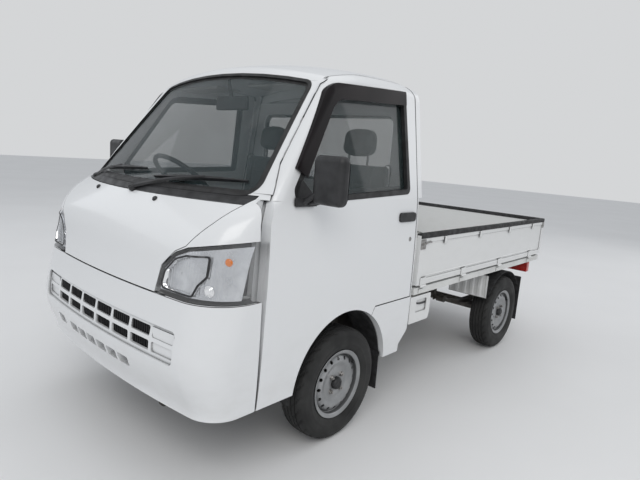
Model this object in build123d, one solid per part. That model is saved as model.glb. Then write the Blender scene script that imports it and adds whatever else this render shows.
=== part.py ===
"""Kei truck: a forward-control cab over the front wheels and a low drop-side bed.

Frame: millimetres, X to the vehicle's left, Y to the rear, Z up. The origin lies on the ground at
the middle of the overall length and width. Each solid or group of like solids is one STEP file.
"""

import math
import os

from build123d import *

# Whole vehicle
OVERALL_LENGTH = 3395.0
BODY_WIDTH = 1475.0
OVERALL_HEIGHT = 1785.0
WHEELBASE = 1900.0
FRONT_OVERHANG = 850.0
TRACK = 1305.0
HALF_WIDTH = BODY_WIDTH / 2
FRONT_Y = -OVERALL_LENGTH / 2
FRONT_AXLE_Y = FRONT_Y + FRONT_OVERHANG
REAR_AXLE_Y = FRONT_AXLE_Y + WHEELBASE

# Clearances and overruns
SEAM = 6.0
SEAT_GAP = 0.3
OVERRUN = 50.0

# Wheels
TYRE_RADIUS = 271.0
VENT_RADIUS = 8.0
VENT_COUNT = 16
WHEEL_Z = TYRE_RADIUS

# Cab body
CAB_REAR_Y = -285.0
BELT_Z = 1150.0
CAB_BOTTOM_Z = 325.0
DOOR_THICKNESS = 55.0
DOOR_FRAME_DEPTH = 46.0
PANEL_THICKNESS = 26.0
ROOF_THICKNESS = 26.0
REAR_CORNER_RADIUS = 42.0
LEAN_DEG = 8.6
MIN_CORNER_RADIUS = 12.0
PILLAR_RADIUS = 52.0

# Plan sections of the lower cab, from the bumper's edge to the belt line.
# Columns: height as a share of BELT_Z; half width, nose setback, nose radius and corner radius as
# shares of HALF_WIDTH.
PLAN_SECTION_SHARES = (
    (0.2826, 0.988, 0.078, 6.8, 0.185),
    (0.4000, 0.997, 0.020, 7.0, 0.210),
    (0.5400, 1.000, 0.009, 7.0, 0.235),
    (0.6800, 0.999, 0.052, 7.0, 0.260),
    (0.8300, 0.994, 0.080, 6.0, 0.265),
    (0.9300, 0.987, 0.135, 3.2, 0.205),
    (1.0000, 0.979, 0.208, 1.75, 0.095),
)

# Cross sections of the upper cab, from ahead of the windscreen to the rear wall.
# Columns: place as a share of the cab's length from its rear wall; crown height as a share of
# OVERALL_HEIGHT; side inset, shoulder radius and crown radius as shares of HALF_WIDTH.
CAB_LENGTH = CAB_REAR_Y - FRONT_Y
ROOF_SECTION_SHARES = (
    (0.920, 0.868, 0.000, 0.120, 3.2),
    (0.560, 0.955, 0.000, 0.115, 3.4),
    (0.370, 0.989, 0.000, 0.110, 3.6),
    (0.190, 1.000, 0.000, 0.105, 3.7),
    (0.000, 0.990, 0.000, 0.105, 3.7),
)

# Windscreen plane: the nose line's height, setback and radius at its foot and at its head
GLASS_FOOT_SETBACK = 153.0
GLASS_FOOT_RADIUS = 1290.0
GLASS_HEAD_Z = 1690.0
GLASS_HEAD_SETBACK = 650.0
GLASS_HEAD_RADIUS = 2100.0


def prism(plane, points, radius, depth):
    """A closed outline with rounded corners, extruded by depth along the plane's normal."""
    face = make_face(FilletPolyline(*points, radius=radius, close=True))
    return extrude(plane * face, amount=depth)


def side_prism(points, x0, x1, radius=0):
    """An outline in Y and Z, extruded from x0 to x1."""
    return prism(Plane.YZ.offset(x0), points, radius, x1 - x0)


def front_prism(points, y0, y1, radius=0):
    """An outline in X and Z, extruded from y0 to y1."""
    plane = Plane(origin=(0, y1, 0), x_dir=(1, 0, 0), z_dir=(0, -1, 0))
    return prism(plane, points, radius, y1 - y0)


def block(low, high):
    """A box from its lowest to its highest corner."""
    size = [b - a for a, b in zip(low, high)]
    return Pos(*[(a + b) / 2 for a, b in zip(low, high)]) * Box(*size)


def rod(start, end, radius):
    """A round bar between two points."""
    line = Vector(*end) - Vector(*start)
    plane = Plane(origin=start, z_dir=line)
    return extrude(plane * Circle(radius), amount=line.length)


def cross_tube(x0, x1, y, z, radius):
    """A round bar along X."""
    return rod((x0, y, z), (x1, y, z), radius)


def mirrored(shape):
    """The same shape on the other side of the vehicle."""
    return mirror(shape, about=Plane.YZ)


def plan_section(row, inset, rear_y=CAB_REAR_Y):
    """A horizontal outline of the lower cab: nose arc, corner arcs, sides and rear."""
    height_share, width_share, setback_share, nose_share, corner_share = row
    z = height_share * BELT_Z
    w = width_share * HALF_WIDTH - inset
    nose_y = FRONT_Y + setback_share * HALF_WIDTH + inset
    nose_r = nose_share * HALF_WIDTH - inset
    corner_r = max(corner_share * HALF_WIDTH - inset, MIN_CORNER_RADIUS)
    rear_r = max(REAR_CORNER_RADIUS - inset, MIN_CORNER_RADIUS)
    back = rear_y - inset
    centre_y = nose_y + nose_r
    corner_y = centre_y - math.sqrt((nose_r - corner_r) ** 2 - (w - corner_r) ** 2)
    tilt = math.atan2(w - corner_r, centre_y - corner_y)
    tangent = (nose_r * math.sin(tilt), centre_y - nose_r * math.cos(tilt))
    middle = (math.pi / 2 + tilt) / 2
    bulge = (
        w - corner_r + corner_r * math.sin(middle),
        corner_y - corner_r * math.cos(middle),
    )
    root = math.sqrt(0.5)
    rear_bulge = (w - rear_r + rear_r * root, back - rear_r + rear_r * root)

    def flip(point):
        return (-point[0], point[1])

    edges = [
        ThreePointArc(flip(tangent), (0, nose_y), tangent),
        ThreePointArc(tangent, bulge, (w, corner_y)),
        Line((w, corner_y), (w, back - rear_r)),
        ThreePointArc((w, back - rear_r), rear_bulge, (w - rear_r, back)),
        Line((w - rear_r, back), (rear_r - w, back)),
        ThreePointArc((rear_r - w, back), flip(rear_bulge), (-w, back - rear_r)),
        Line((-w, back - rear_r), (-w, corner_y)),
        ThreePointArc((-w, corner_y), flip(bulge), flip(tangent)),
    ]
    return Plane.XY.offset(z) * make_face(edges)


def roof_section(row, inset, drop):
    """A cross section of the upper cab: leaning sides, shoulder arcs and the roof's crown."""
    place_share, height_share, side_share, shoulder_share, crown_share = row
    y = CAB_REAR_Y - place_share * CAB_LENGTH
    lean = math.radians(LEAN_DEG)
    foot_z = BELT_Z - drop
    belt_w = PLAN_SECTION_SHARES[-1][1] * HALF_WIDTH - side_share * HALF_WIDTH - inset
    foot_w = belt_w + drop * math.tan(lean)
    crown_r = crown_share * HALF_WIDTH - inset
    shoulder_r = max(shoulder_share * HALF_WIDTH - inset, MIN_CORNER_RADIUS)
    crown_z = height_share * OVERALL_HEIGHT - inset
    centre_z = crown_z - crown_r
    along = Vector(-math.sin(lean), math.cos(lean))
    inward = Vector(-math.cos(lean), -math.sin(lean))
    start = Vector(foot_w, foot_z - centre_z) + inward * shoulder_r
    half_b = start.dot(along)
    rest = start.dot(start) - (crown_r - shoulder_r) ** 2
    travel = -half_b + math.sqrt(half_b**2 - rest)
    centre = start + along * travel
    side_end = centre - inward * shoulder_r
    tilt = math.atan2(centre.X, centre.Y)
    crown_end = Vector(math.sin(tilt), math.cos(tilt)) * crown_r
    middle = (tilt + math.pi / 2 - lean) / 2
    bulge = centre + Vector(math.sin(middle), math.cos(middle)) * shoulder_r

    def at(point, sign=1):
        return (sign * point.X, point.Y + centre_z)

    left, right = 1, -1
    edges = [
        Line((-foot_w, foot_z), (foot_w, foot_z)),
        Line((foot_w, foot_z), at(side_end, left)),
        ThreePointArc(at(side_end, left), at(bulge, left), at(crown_end, left)),
        ThreePointArc(at(crown_end, left), (0, crown_z), at(crown_end, right)),
        ThreePointArc(at(crown_end, right), at(bulge, right), at(side_end, right)),
        Line(at(side_end, right), (-foot_w, foot_z)),
    ]
    plane = Plane(origin=(0, y, 0), x_dir=(1, 0, 0), z_dir=(0, -1, 0))
    return plane * make_face(edges)


def glass_section(z, setback, radius, inset, rear_inset):
    """A plan of all that lies behind the windscreen's surface at one height."""
    nose_y = FRONT_Y + setback + inset
    back_y = CAB_REAR_Y - rear_inset if rear_inset > 0 else OVERRUN
    reach = HALF_WIDTH + OVERRUN
    sag = radius - math.sqrt(radius**2 - reach**2)
    edges = [
        ThreePointArc((-reach, nose_y + sag), (0, nose_y), (reach, nose_y + sag)),
        Line((reach, nose_y + sag), (reach, back_y)),
        Line((reach, back_y), (-reach, back_y)),
        Line((-reach, back_y), (-reach, nose_y + sag)),
    ]
    return Plane.XY.offset(z) * make_face(edges)


def behind_windscreen(inset):
    """All that lies behind the windscreen's outer surface, from the belt line to above the roof."""
    slope = (GLASS_HEAD_SETBACK - GLASS_FOOT_SETBACK) / (GLASS_HEAD_Z - BELT_Z)
    grow = (GLASS_HEAD_RADIUS - GLASS_FOOT_RADIUS) / (GLASS_HEAD_Z - BELT_Z)
    top_z = OVERALL_HEIGHT + OVERRUN
    rise = top_z - BELT_Z
    level = inset * math.hypot(1, slope)
    head_setback = GLASS_FOOT_SETBACK + slope * rise
    head_radius = GLASS_FOOT_RADIUS + grow * rise
    low = glass_section(BELT_Z, GLASS_FOOT_SETBACK, GLASS_FOOT_RADIUS, level, inset)
    high = glass_section(top_z, head_setback, head_radius, level, inset)
    return loft([low, high], ruled=True)


def lower_body(inset):
    """The lower cab as one closed form, shrunk by inset on its front, sides and rear."""
    return loft([plan_section(row, inset) for row in PLAN_SECTION_SHARES])


def on_windscreen(edge):
    """Whether an edge of the upper cab lies on the windscreen's surface, above its foot."""
    middle = edge.position_at(0.5)
    rise = middle.Z - BELT_Z
    share = rise / (GLASS_HEAD_Z - BELT_Z)
    radius = GLASS_FOOT_RADIUS + share * (GLASS_HEAD_RADIUS - GLASS_FOOT_RADIUS)
    setback = GLASS_FOOT_SETBACK + share * (GLASS_HEAD_SETBACK - GLASS_FOOT_SETBACK)
    nose_y = FRONT_Y + setback + radius - math.sqrt(radius**2 - middle.X**2)
    return rise > SEAM and abs(nose_y - middle.Y) < SEAM


def upper_body(inset):
    """The upper cab as one closed form, shrunk by inset on its front, roof, sides and rear."""
    whole = loft([roof_section(row, inset, OVERRUN) for row in reversed(ROOF_SECTION_SHARES)])
    whole = whole & behind_windscreen(inset)
    if inset > 0:
        return whole
    return fillet([e for e in whole.edges() if on_windscreen(e)], PILLAR_RADIUS)


_forms = {}


def lower(inset):
    """lower_body, built once for each inset."""
    if ("lower", inset) not in _forms:
        _forms["lower", inset] = lower_body(inset)
    return _forms["lower", inset]


def upper(inset):
    """upper_body, built once for each inset."""
    if ("upper", inset) not in _forms:
        _forms["upper", inset] = upper_body(inset)
    return _forms["upper", inset]


def solids_of(shape):
    """The solids of a shape, or none where it is empty."""
    return list(shape.solids()) if shape is not None else []


def join(*shapes):
    """All solids of several shapes, fused where they touch."""
    solids = [s for shape in shapes for s in solids_of(shape)]
    result = Part() + solids[0]
    for solid in solids[1:]:
        result = result + solid
    return result


def largest(shape, count=1):
    """The count largest solids, so that slivers left by a cut are dropped."""
    solids = sorted(solids_of(shape), key=lambda s: s.volume, reverse=True)[:count]
    return Part() + solids


NODES = {}


def node(name, shape):
    """Keeps a finished sub-part under its node name."""
    NODES[name] = shape


# Door outline in Y and Z, with its seams to the pillars, the front panels and the quarter panel
DOOR_FRONT_LOW_Y = -1380.0
DOOR_FRONT_MID = (-1354.0, 1060.0)
DOOR_FRONT_BELT = (-1334.0, 1150.0)
DOOR_KNEE = (-1105.0, 1552.0)
DOOR_TOP_FRONT = (-915.0, 1694.0)
DOOR_TOP_REAR_Z = 1712.0
DOOR_REAR_Y = -330.0
DOOR_LOW_REAR_Z = 626.0
DOOR_NOTCH_Y = -640.0
DOOR_KNEE_RADIUS = 260.0
DOOR_HEAD_RADIUS = 200.0
DOOR_REAR_RADIUS = 70.0
ARCH_RADIUS = 330.0
ARCH_RISE = 36.0
ARCH_HALF_WIDTH = 322.0
SIDE_INNER_X = 480.0
SIDE_OUTER_X = HALF_WIDTH + OVERRUN


def door_region(grow):
    """All that lies inside the left door's outline, grown by a margin on its seams."""
    low_z = CAB_BOTTOM_Z - OVERRUN
    points = [
        (DOOR_FRONT_LOW_Y - grow, low_z),
        (DOOR_FRONT_MID[0] - grow, DOOR_FRONT_MID[1]),
        (DOOR_FRONT_BELT[0] - grow, DOOR_FRONT_BELT[1]),
        (DOOR_KNEE[0] - grow, DOOR_KNEE[1] + grow / 2),
        (DOOR_TOP_FRONT[0] - grow / 2, DOOR_TOP_FRONT[1] + grow),
        (DOOR_REAR_Y + grow, DOOR_TOP_REAR_Z + grow),
        (DOOR_REAR_Y + grow, DOOR_LOW_REAR_Z - grow),
        (DOOR_NOTCH_Y, DOOR_LOW_REAR_Z - grow),
        (FRONT_AXLE_Y, WHEEL_Z),
        (FRONT_AXLE_Y, low_z),
    ]
    radii = [0, 0, 0, DOOR_KNEE_RADIUS, DOOR_HEAD_RADIUS, DOOR_REAR_RADIUS, 0, 0, 0, 0]
    return side_prism(points, SIDE_INNER_X, SIDE_OUTER_X, radii)


def wheel_arch(extra=0):
    """The round-topped opening over the left front wheel."""
    radius = ARCH_RADIUS + extra
    half = ARCH_HALF_WIDTH + extra
    centre_z = WHEEL_Z + ARCH_RISE
    top = cross_tube(SIDE_INNER_X, SIDE_OUTER_X, FRONT_AXLE_Y, centre_z, radius)
    low = (SIDE_INNER_X, FRONT_AXLE_Y - half, 0)
    return top + block(low, (SIDE_OUTER_X, FRONT_AXLE_Y + half, centre_z))


# Side window outline in Y and Z
WINDOW_POINTS = (
    (-1206.0, 1124.0),
    (-1020.0, 1152.0),
    (-408.0, 1180.0),
    (-426.0, 1640.0),
    (-952.0, 1606.0),
    (-1224.0, 1190.0),
)
WINDOW_RADII = (30.0, 300.0, 22.0, 34.0, 110.0, 30.0)
GLASS_DEPTH = 20.0
GLASS_THICKNESS = 5.0
GLASS_EDGE = 1.0


def window_region():
    """The left door's window opening, from inside the cab to outside."""
    return side_prism(WINDOW_POINTS, SIDE_INNER_X, SIDE_OUTER_X, WINDOW_RADII)


# Door furniture
HANDLE_Y = -420.0
HANDLE_Z = 1054.0
HANDLE_LENGTH = 146.0
HANDLE_HEIGHT = 46.0
HANDLE_DEPTH = 24.0
HANDLE_GAP = 0.5
VISOR_WIDTH = 66.0
VISOR_PROUD = 12.0
VISOR_THICKNESS = 3.0
VISOR_POINTS = ((-1222.0, 1275.0), (-995.0, 1636.0), (-428.0, 1672.0))
VISOR_RADIUS = 110.0
MIRROR_CENTRE = (838.0, -1162.0, 1238.0)
MIRROR_SIZE = (152.0, 58.0, 190.0)
MIRROR_RADIUS = 24.0
MIRROR_BASE_POINTS = ((-1236.0, 1128.0), (-1120.0, 1132.0), (-1120.0, 1162.0), (-1196.0, 1236.0))
MIRROR_BASE_RADIUS = 8.0
MIRROR_BASE_PROUD = 10.0
MIRROR_ARM_RADIUS = 11.0
MIRROR_ARM_RISE = 62.0


def rain_visor():
    """The rain visor: a thin hood that stands off the door along the window's front and top."""
    start, knee, end = VISOR_POINTS
    slope = math.atan2(knee[1] - start[1], knee[0] - start[0])
    across = (math.sin(slope) * VISOR_WIDTH, -math.cos(slope) * VISOR_WIDTH)
    points = [
        start,
        knee,
        end,
        (end[0], end[1] - VISOR_WIDTH),
        (knee[0] + across[0] / 2, knee[1] - VISOR_WIDTH),
        (start[0] + across[0], start[1] + across[1]),
    ]
    radii = [0, VISOR_RADIUS, 0, 0, VISOR_RADIUS, 0]
    region = side_prism(points, SIDE_INNER_X, SIDE_OUTER_X, radii)
    shell = (upper(-VISOR_PROUD) & region) - upper(-(VISOR_PROUD - VISOR_THICKNESS))
    lift = [(y + VISOR_THICKNESS, z - VISOR_THICKNESS) for y, z in points[:3]]
    lower_edge = side_prism(lift + points[3:], SIDE_INNER_X, SIDE_OUTER_X, radii)
    foot = (upper(-(VISOR_PROUD - VISOR_THICKNESS)) & (region - lower_edge)) - upper(-SEAT_GAP)
    return largest(join(shell, foot))


def door_mirror():
    """The left mirror: a rounded housing on a two-armed bracket and its base on the door."""
    housing = fillet((Pos(*MIRROR_CENTRE) * Box(*MIRROR_SIZE)).edges(), MIRROR_RADIUS)
    region = side_prism(MIRROR_BASE_POINTS, SIDE_INNER_X, SIDE_OUTER_X, MIRROR_BASE_RADIUS)
    base = (upper(-MIRROR_BASE_PROUD) & region) - upper(-SEAT_GAP)
    base = join(base, block(
        (HALF_WIDTH - MIRROR_BASE_PROUD, MIRROR_BASE_POINTS[0][0], MIRROR_BASE_POINTS[0][1]),
        (HALF_WIDTH, MIRROR_BASE_POINTS[1][0], MIRROR_BASE_POINTS[2][1]),
    ))
    root_x = HALF_WIDTH - MIRROR_BASE_PROUD / 2
    root_z = MIRROR_BASE_POINTS[1][1] + MIRROR_ARM_RADIUS
    low_z = MIRROR_CENTRE[2] - MIRROR_SIZE[2] / 2 + MIRROR_RADIUS
    arms = [
        rod(
            (root_x, MIRROR_CENTRE[1] - setback, root_z),
            (*MIRROR_CENTRE[:2], low_z + rise),
            MIRROR_ARM_RADIUS,
        )
        for setback, rise in ((0, 0), (MIRROR_ARM_RISE / 2, MIRROR_ARM_RISE))
    ]
    return largest(join(housing, base, *arms))


def side_slab(depth):
    """All that lies outside an upright plane below the left side, which leans in above the belt line."""
    low_z, top_z = CAB_BOTTOM_Z - OVERRUN, OVERALL_HEIGHT + OVERRUN
    belt_x = PLAN_SECTION_SHARES[-1][1] * HALF_WIDTH - depth
    top_x = belt_x - (top_z - BELT_Z) * math.tan(math.radians(LEAN_DEG))
    points = [(belt_x, low_z), (belt_x, BELT_Z), (top_x, top_z), (SIDE_OUTER_X, top_z), (SIDE_OUTER_X, low_z)]
    return front_prism(points, FRONT_Y - OVERRUN, OVERRUN)


def roof_side_region(grow):
    """The space of the roof panel above its side edges, grown by a margin, on the left half."""
    return block(
        (0, FRONT_Y, ROOF_EDGE_Z - grow),
        (ROOF_HALF_WIDTH + grow, 0, OVERALL_HEIGHT + OVERRUN),
    )


def door_parts():
    """The left door with its glass, handle, rain visor and mirror."""
    region = door_region(0) & side_slab(DOOR_FRAME_DEPTH)
    skin = join(
        (shell_low(0, DOOR_THICKNESS) & region) - wheel_arch(),
        (shell_high(0, DOOR_THICKNESS) & region) - roof_side_region(SEAM),
    )
    reach = DOOR_REAR_Y + SEAM - SWING_GAP - HINGE_Y
    skin = skin & (Pos(HINGE_X, HINGE_Y, 0) * Cylinder(reach, 2 * OVERALL_HEIGHT))
    skin = largest(skin - window_region())
    half_length = HANDLE_LENGTH / 2
    half_height = HANDLE_HEIGHT / 2
    low = (HALF_WIDTH - HANDLE_DEPTH, HANDLE_Y - half_length, HANDLE_Z - half_height)
    high = (HALF_WIDTH, HANDLE_Y + half_length, HANDLE_Z + half_height)
    pocket = fillet(block(low, high).edges().filter_by(Axis.X), HANDLE_HEIGHT / 3)
    skin = skin - pocket
    grip_low = [a + HANDLE_GAP for a in low]
    grip_high = [high[0]] + [b - HANDLE_GAP for b in high[1:]]
    grip = fillet(block(grip_low, grip_high).edges().filter_by(Axis.X), HANDLE_HEIGHT / 3)
    inner = GLASS_DEPTH + GLASS_THICKNESS
    opening = window_region()
    glass = join(shell_low(GLASS_DEPTH, inner) & opening, shell_high(GLASS_DEPTH, inner) & opening)
    return {
        "door": skin,
        "door_glass": largest(glass),
        "door_handle": largest(grip),
        "rain_visor": rain_visor(),
        "door_mirror": door_mirror(),
    }


def shell_low(outer, inner):
    """The lower cab's skin between two depths."""
    key = ("shell_low", outer, inner)
    if key not in _forms:
        _forms[key] = lower(outer) - lower(inner)
    return _forms[key]


def shell_high(outer, inner):
    """The upper cab's skin between two depths."""
    key = ("shell_high", outer, inner)
    if key not in _forms:
        _forms[key] = upper(outer) - upper(inner)
    return _forms[key]


# Openings and seams of the cab's front and rear, as outlines in X and Z
WINDSCREEN_LOW = (642.0, 1164.0)
WINDSCREEN_HIGH = (560.0, 1636.0)
WINDSCREEN_CROWN_Z = 1680.0
WINDSCREEN_CORNER_RADIUS = 46.0
WINDSCREEN_DEPTH = 7.0
WINDSCREEN_THICKNESS = 5.0
ROOF_HALF_WIDTH = 596.0
ROOF_EDGE_Z = 1642.0
REAR_WALL_HALF_WIDTH = 684.0
REAR_WALL_TOP = (604.0, 1640.0)
REAR_WALL_LOW_Z = 600.0
REAR_WALL_THICKNESS = 30.0
REAR_WINDOW_HALF_WIDTH = 520.0
REAR_WINDOW_LOW_Z = 1180.0
REAR_WINDOW_HIGH_Z = 1570.0
REAR_WINDOW_CORNER_RADIUS = 55.0
BUMPER_TOP_Z = 770.0
BUMPER_REAR_Y = -1387.0
PLAN_DEPTH = 800.0
BUMPER_THICKNESS = 30.0
LAMP_DEPTH = 60.0
LAMP_POINTS = (
    (418.0, 779.0), (441.0, 880.0), (500.0, 940.0), (560.0, 966.0), (787.0, 1013.0), (787.0, 777.0),
)
LAMP_RADII = (14.0, 60.0, 60.0, 0.0, 0.0, 0.0)
LAMP_REAR_POINTS = ((-1388.0, 760.0), (-1368.0, 1030.0), (-1740.0, 1030.0), (-1740.0, 760.0))
NOSE_POINTS = (
    (410.0, 776.0), (434.0, 884.0), (496.0, 947.0), (545.0, 972.0), (606.0, 1060.0), (640.0, 1128.0),
)
COWL_TOP_Z = 1160.0
COWL_SIDE_X = 650.0
PANEL_GAP = 3.0
NOSE_REAR_Y = -1300.0
SIDE_DEPTH = 92.0
SIDE_FRAME_DEPTH = 88.0
FLANGE_DEPTH = 68.0
FLANGE_WIDTH = 30.0
SILL_HEIGHT = 78.0
HINGE_X = 729.0
HINGE_Y = -1350.0
HINGE_CLEAR_RADIUS = 66.0
SWING_GAP = 5.2
QUARTER_CUT_POINTS = ((-384.0, 300.0), (-384.0, 366.0), (-302.0, 452.0), (-240.0, 470.0), (-240.0, 300.0))


def mirror_points(points):
    """An outline's left half followed by its right half, from a list in X and Z."""
    return list(points) + [(-x, z) for x, z in reversed(points)]


def front_plane(y):
    """A plane that faces the front at a place along Y."""
    return Plane(origin=(0, y, 0), x_dir=(1, 0, 0), z_dir=(0, -1, 0))


def windscreen_region(grow):
    """The windscreen's opening, grown by a margin, through the whole front of the upper cab."""
    low, high = WINDSCREEN_LOW, WINDSCREEN_HIGH
    edges = [
        Line((-low[0], low[1]), low),
        Line(low, high),
        ThreePointArc(high, (0, WINDSCREEN_CROWN_Z), (-high[0], high[1])),
        Line((-high[0], high[1]), (-low[0], low[1])),
    ]
    face = fillet(make_face(edges).vertices(), WINDSCREEN_CORNER_RADIUS)
    if grow:
        face = offset(face, amount=grow)
    back_y = FRONT_Y + GLASS_HEAD_SETBACK + PLAN_DEPTH
    return extrude(front_plane(back_y) * face, amount=PLAN_DEPTH * 2)



def front_region(points, radii, grow, back_y):
    """An outline in X and Z, grown by a margin and extruded through the nose."""
    face = make_face(FilletPolyline(*points, radius=radii, close=True))
    if grow:
        face = offset(face, amount=grow, kind=Kind.INTERSECTION)
    return extrude(front_plane(back_y) * face, amount=back_y - FRONT_Y + OVERRUN)


def lamp_region(grow):
    """The left headlamp's outline, grown by a margin: its front view within its side view."""
    front = front_region(LAMP_POINTS, LAMP_RADII, grow, NOSE_REAR_Y)
    points = [(y + grow * (y > FRONT_Y), z) for y, z in LAMP_REAR_POINTS]
    return front & side_prism(points, 0, SIDE_OUTER_X)


def bumper_region(grow):
    """The space of the front bumper: all below its top seam and ahead of the doors."""
    return block(
        (-SIDE_OUTER_X, FRONT_Y - OVERRUN, CAB_BOTTOM_Z - OVERRUN),
        (SIDE_OUTER_X, BUMPER_REAR_Y + grow, BUMPER_TOP_Z + grow),
    )


def cab_side():
    """The left side's frame: pillars, roof rail, front corner, sill and lower quarter panel."""
    space = block((SIDE_INNER_X, FRONT_Y, CAB_BOTTOM_Z - OVERRUN), (SIDE_OUTER_X, 0, OVERALL_HEIGHT))
    aperture = door_region(-FLANGE_WIDTH) & block(
        (SIDE_INNER_X, FRONT_Y, CAB_BOTTOM_Z + SILL_HEIGHT), (SIDE_OUTER_X, 0, OVERALL_HEIGHT)
    )
    nose = front_region(mirror_points(NOSE_POINTS + ((COWL_SIDE_X, COWL_TOP_Z),)), 0, PANEL_GAP, NOSE_REAR_Y)
    roof = roof_side_region(PANEL_GAP)
    rear = rear_wall_region(PANEL_GAP)
    inside = block((0, NOSE_REAR_Y, 0), (SIDE_OUTER_X, 0, OVERALL_HEIGHT)) - side_slab(SIDE_FRAME_DEPTH)
    hinge = Pos(HINGE_X, HINGE_Y, 0) * Cylinder(
        HINGE_CLEAR_RADIUS, BELT_Z, align=(Align.CENTER, Align.CENTER, Align.MIN)
    )
    hinge = hinge & door_region(OVERRUN)
    aperture = aperture - wheel_arch(FLANGE_WIDTH)
    cuts = [aperture, nose, rear, inside, lamp_region(PANEL_GAP), bumper_region(PANEL_GAP)]
    cuts += [windscreen_region(PANEL_GAP), wheel_arch(), hinge]
    cuts.append(side_prism(QUARTER_CUT_POINTS, SIDE_INNER_X, SIDE_OUTER_X))
    pieces = []
    for shell, form in ((shell_low, lower), (shell_high, upper)):
        part = shell(0, SIDE_DEPTH) & space
        part = part - (door_region(SEAM) - form(FLANGE_DEPTH))
        part = part - (roof - form(ROOF_THICKNESS)) if shell is shell_high else part
        for cut in cuts:
            part = part - cut
        pieces.append(part)
    return largest(join(*pieces), 1)


def rear_wall_region(grow):
    """The rear wall's outline, grown by a margin, as a slab at the cab's rear."""
    half, (top_x, top_z) = REAR_WALL_HALF_WIDTH, REAR_WALL_TOP
    points = [
        (half + grow, REAR_WALL_LOW_Z - grow),
        (half + grow, BELT_Z),
        (top_x + grow, top_z + grow),
    ]
    front_y = CAB_REAR_Y - REAR_WALL_THICKNESS - grow
    return front_prism(mirror_points(points), front_y, CAB_REAR_Y + OVERRUN)


def cab_shell_parts():
    """The cab's fixed panels other than its two sides."""
    screen = windscreen_region(0)
    depth = (WINDSCREEN_DEPTH, WINDSCREEN_DEPTH + WINDSCREEN_THICKNESS)
    glass = (behind_windscreen(depth[0]) - behind_windscreen(depth[1])) & windscreen_region(-GLASS_EDGE)
    roof_space = block(
        (-ROOF_HALF_WIDTH, FRONT_Y, ROOF_EDGE_Z),
        (ROOF_HALF_WIDTH, CAB_REAR_Y + OVERRUN, OVERALL_HEIGHT + OVERRUN),
    )
    roof = (shell_high(0, ROOF_THICKNESS) & roof_space) - screen
    wall = rear_wall_region(0) & (lower(0) + upper(0))
    wall = wall - roof_space
    window_points = (
        (REAR_WINDOW_HALF_WIDTH, REAR_WINDOW_LOW_Z),
        (REAR_WINDOW_HALF_WIDTH, REAR_WINDOW_HIGH_Z),
    )
    front_y = CAB_REAR_Y - REAR_WALL_THICKNESS
    hole = front_prism(
        mirror_points(window_points), front_y - OVERRUN, CAB_REAR_Y + OVERRUN, REAR_WINDOW_CORNER_RADIUS
    )
    pane_y = CAB_REAR_Y - REAR_WALL_THICKNESS / 2
    pane_points = [
        (REAR_WINDOW_HALF_WIDTH - GLASS_EDGE, REAR_WINDOW_LOW_Z + GLASS_EDGE),
        (REAR_WINDOW_HALF_WIDTH - GLASS_EDGE, REAR_WINDOW_HIGH_Z - GLASS_EDGE),
    ]
    pane = front_prism(
        mirror_points(pane_points), pane_y, pane_y + GLASS_THICKNESS, REAR_WINDOW_CORNER_RADIUS
    )
    nose = front_region(mirror_points(NOSE_POINTS), 0, 0, NOSE_REAR_Y)
    panel = shell_low(0, PANEL_THICKNESS) & nose
    strip = block(
        (-COWL_SIDE_X, FRONT_Y, NOSE_POINTS[-1][1] + PANEL_GAP), (COWL_SIDE_X, NOSE_REAR_Y, COWL_TOP_Z)
    )
    strip = strip & front_region(mirror_points(NOSE_POINTS + ((COWL_SIDE_X, COWL_TOP_Z),)), 0, 0, NOSE_REAR_Y)
    cowl = join(shell_low(0, PANEL_THICKNESS) & strip, shell_high(0, PANEL_THICKNESS) & strip)
    lamp = largest(shell_low(0, LAMP_DEPTH) & lamp_region(0))
    return {
        "windshield": largest(glass),
        "cab_roof": largest(roof),
        "cab_back_wall": largest(wall - hole),
        "rear_window": pane,
        "front_panel": largest(panel),
        "cowl": largest(cowl),
        "headlamps": Part() + [lamp, mirrored(lamp)],
    }


# Front bumper with its grille opening, lower slots and tow hole
GRILLE_HALF_WIDTH = 575.0
GRILLE_LOW_Z = 532.0
GRILLE_HIGH_Z = 660.0
GRILLE_RADIUS = 22.0
GRILLE_DEPTH = 12.0
GRILLE_THICKNESS = 12.0
GRILLE_ROWS = 2
GRILLE_SLOTS = 8
GRILLE_BAR = 16.0
LOWER_SLOT_HALF_WIDTH = 275.0
LOWER_SLOT_LOW_Z = 430.0
LOWER_SLOT_HIGH_Z = 474.0
LOWER_SLOTS = 6
TOW_HOLE_X = -389.0
TOW_HOLE_Z = 454.0
TOW_HOLE_SIZE = (78.0, 46.0)
SLOT_RADIUS = 8.0


def slot_grid(half_width, low_z, high_z, columns, rows, bar, y0, y1):
    """A grid of round-cornered slots between bars, cut along Y."""
    pitch_x = (2 * half_width + bar) / columns
    pitch_z = (high_z - low_z + bar) / rows
    slot = RectangleRounded(pitch_x - bar, pitch_z - bar, SLOT_RADIUS)
    places = [
        (-half_width + (pitch_x - bar) / 2 + i * pitch_x, low_z + (pitch_z - bar) / 2 + j * pitch_z)
        for i in range(columns)
        for j in range(rows)
    ]
    plane = front_plane(y1)
    return [extrude(plane * Pos(*place) * slot, amount=y1 - y0) for place in places]


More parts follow.
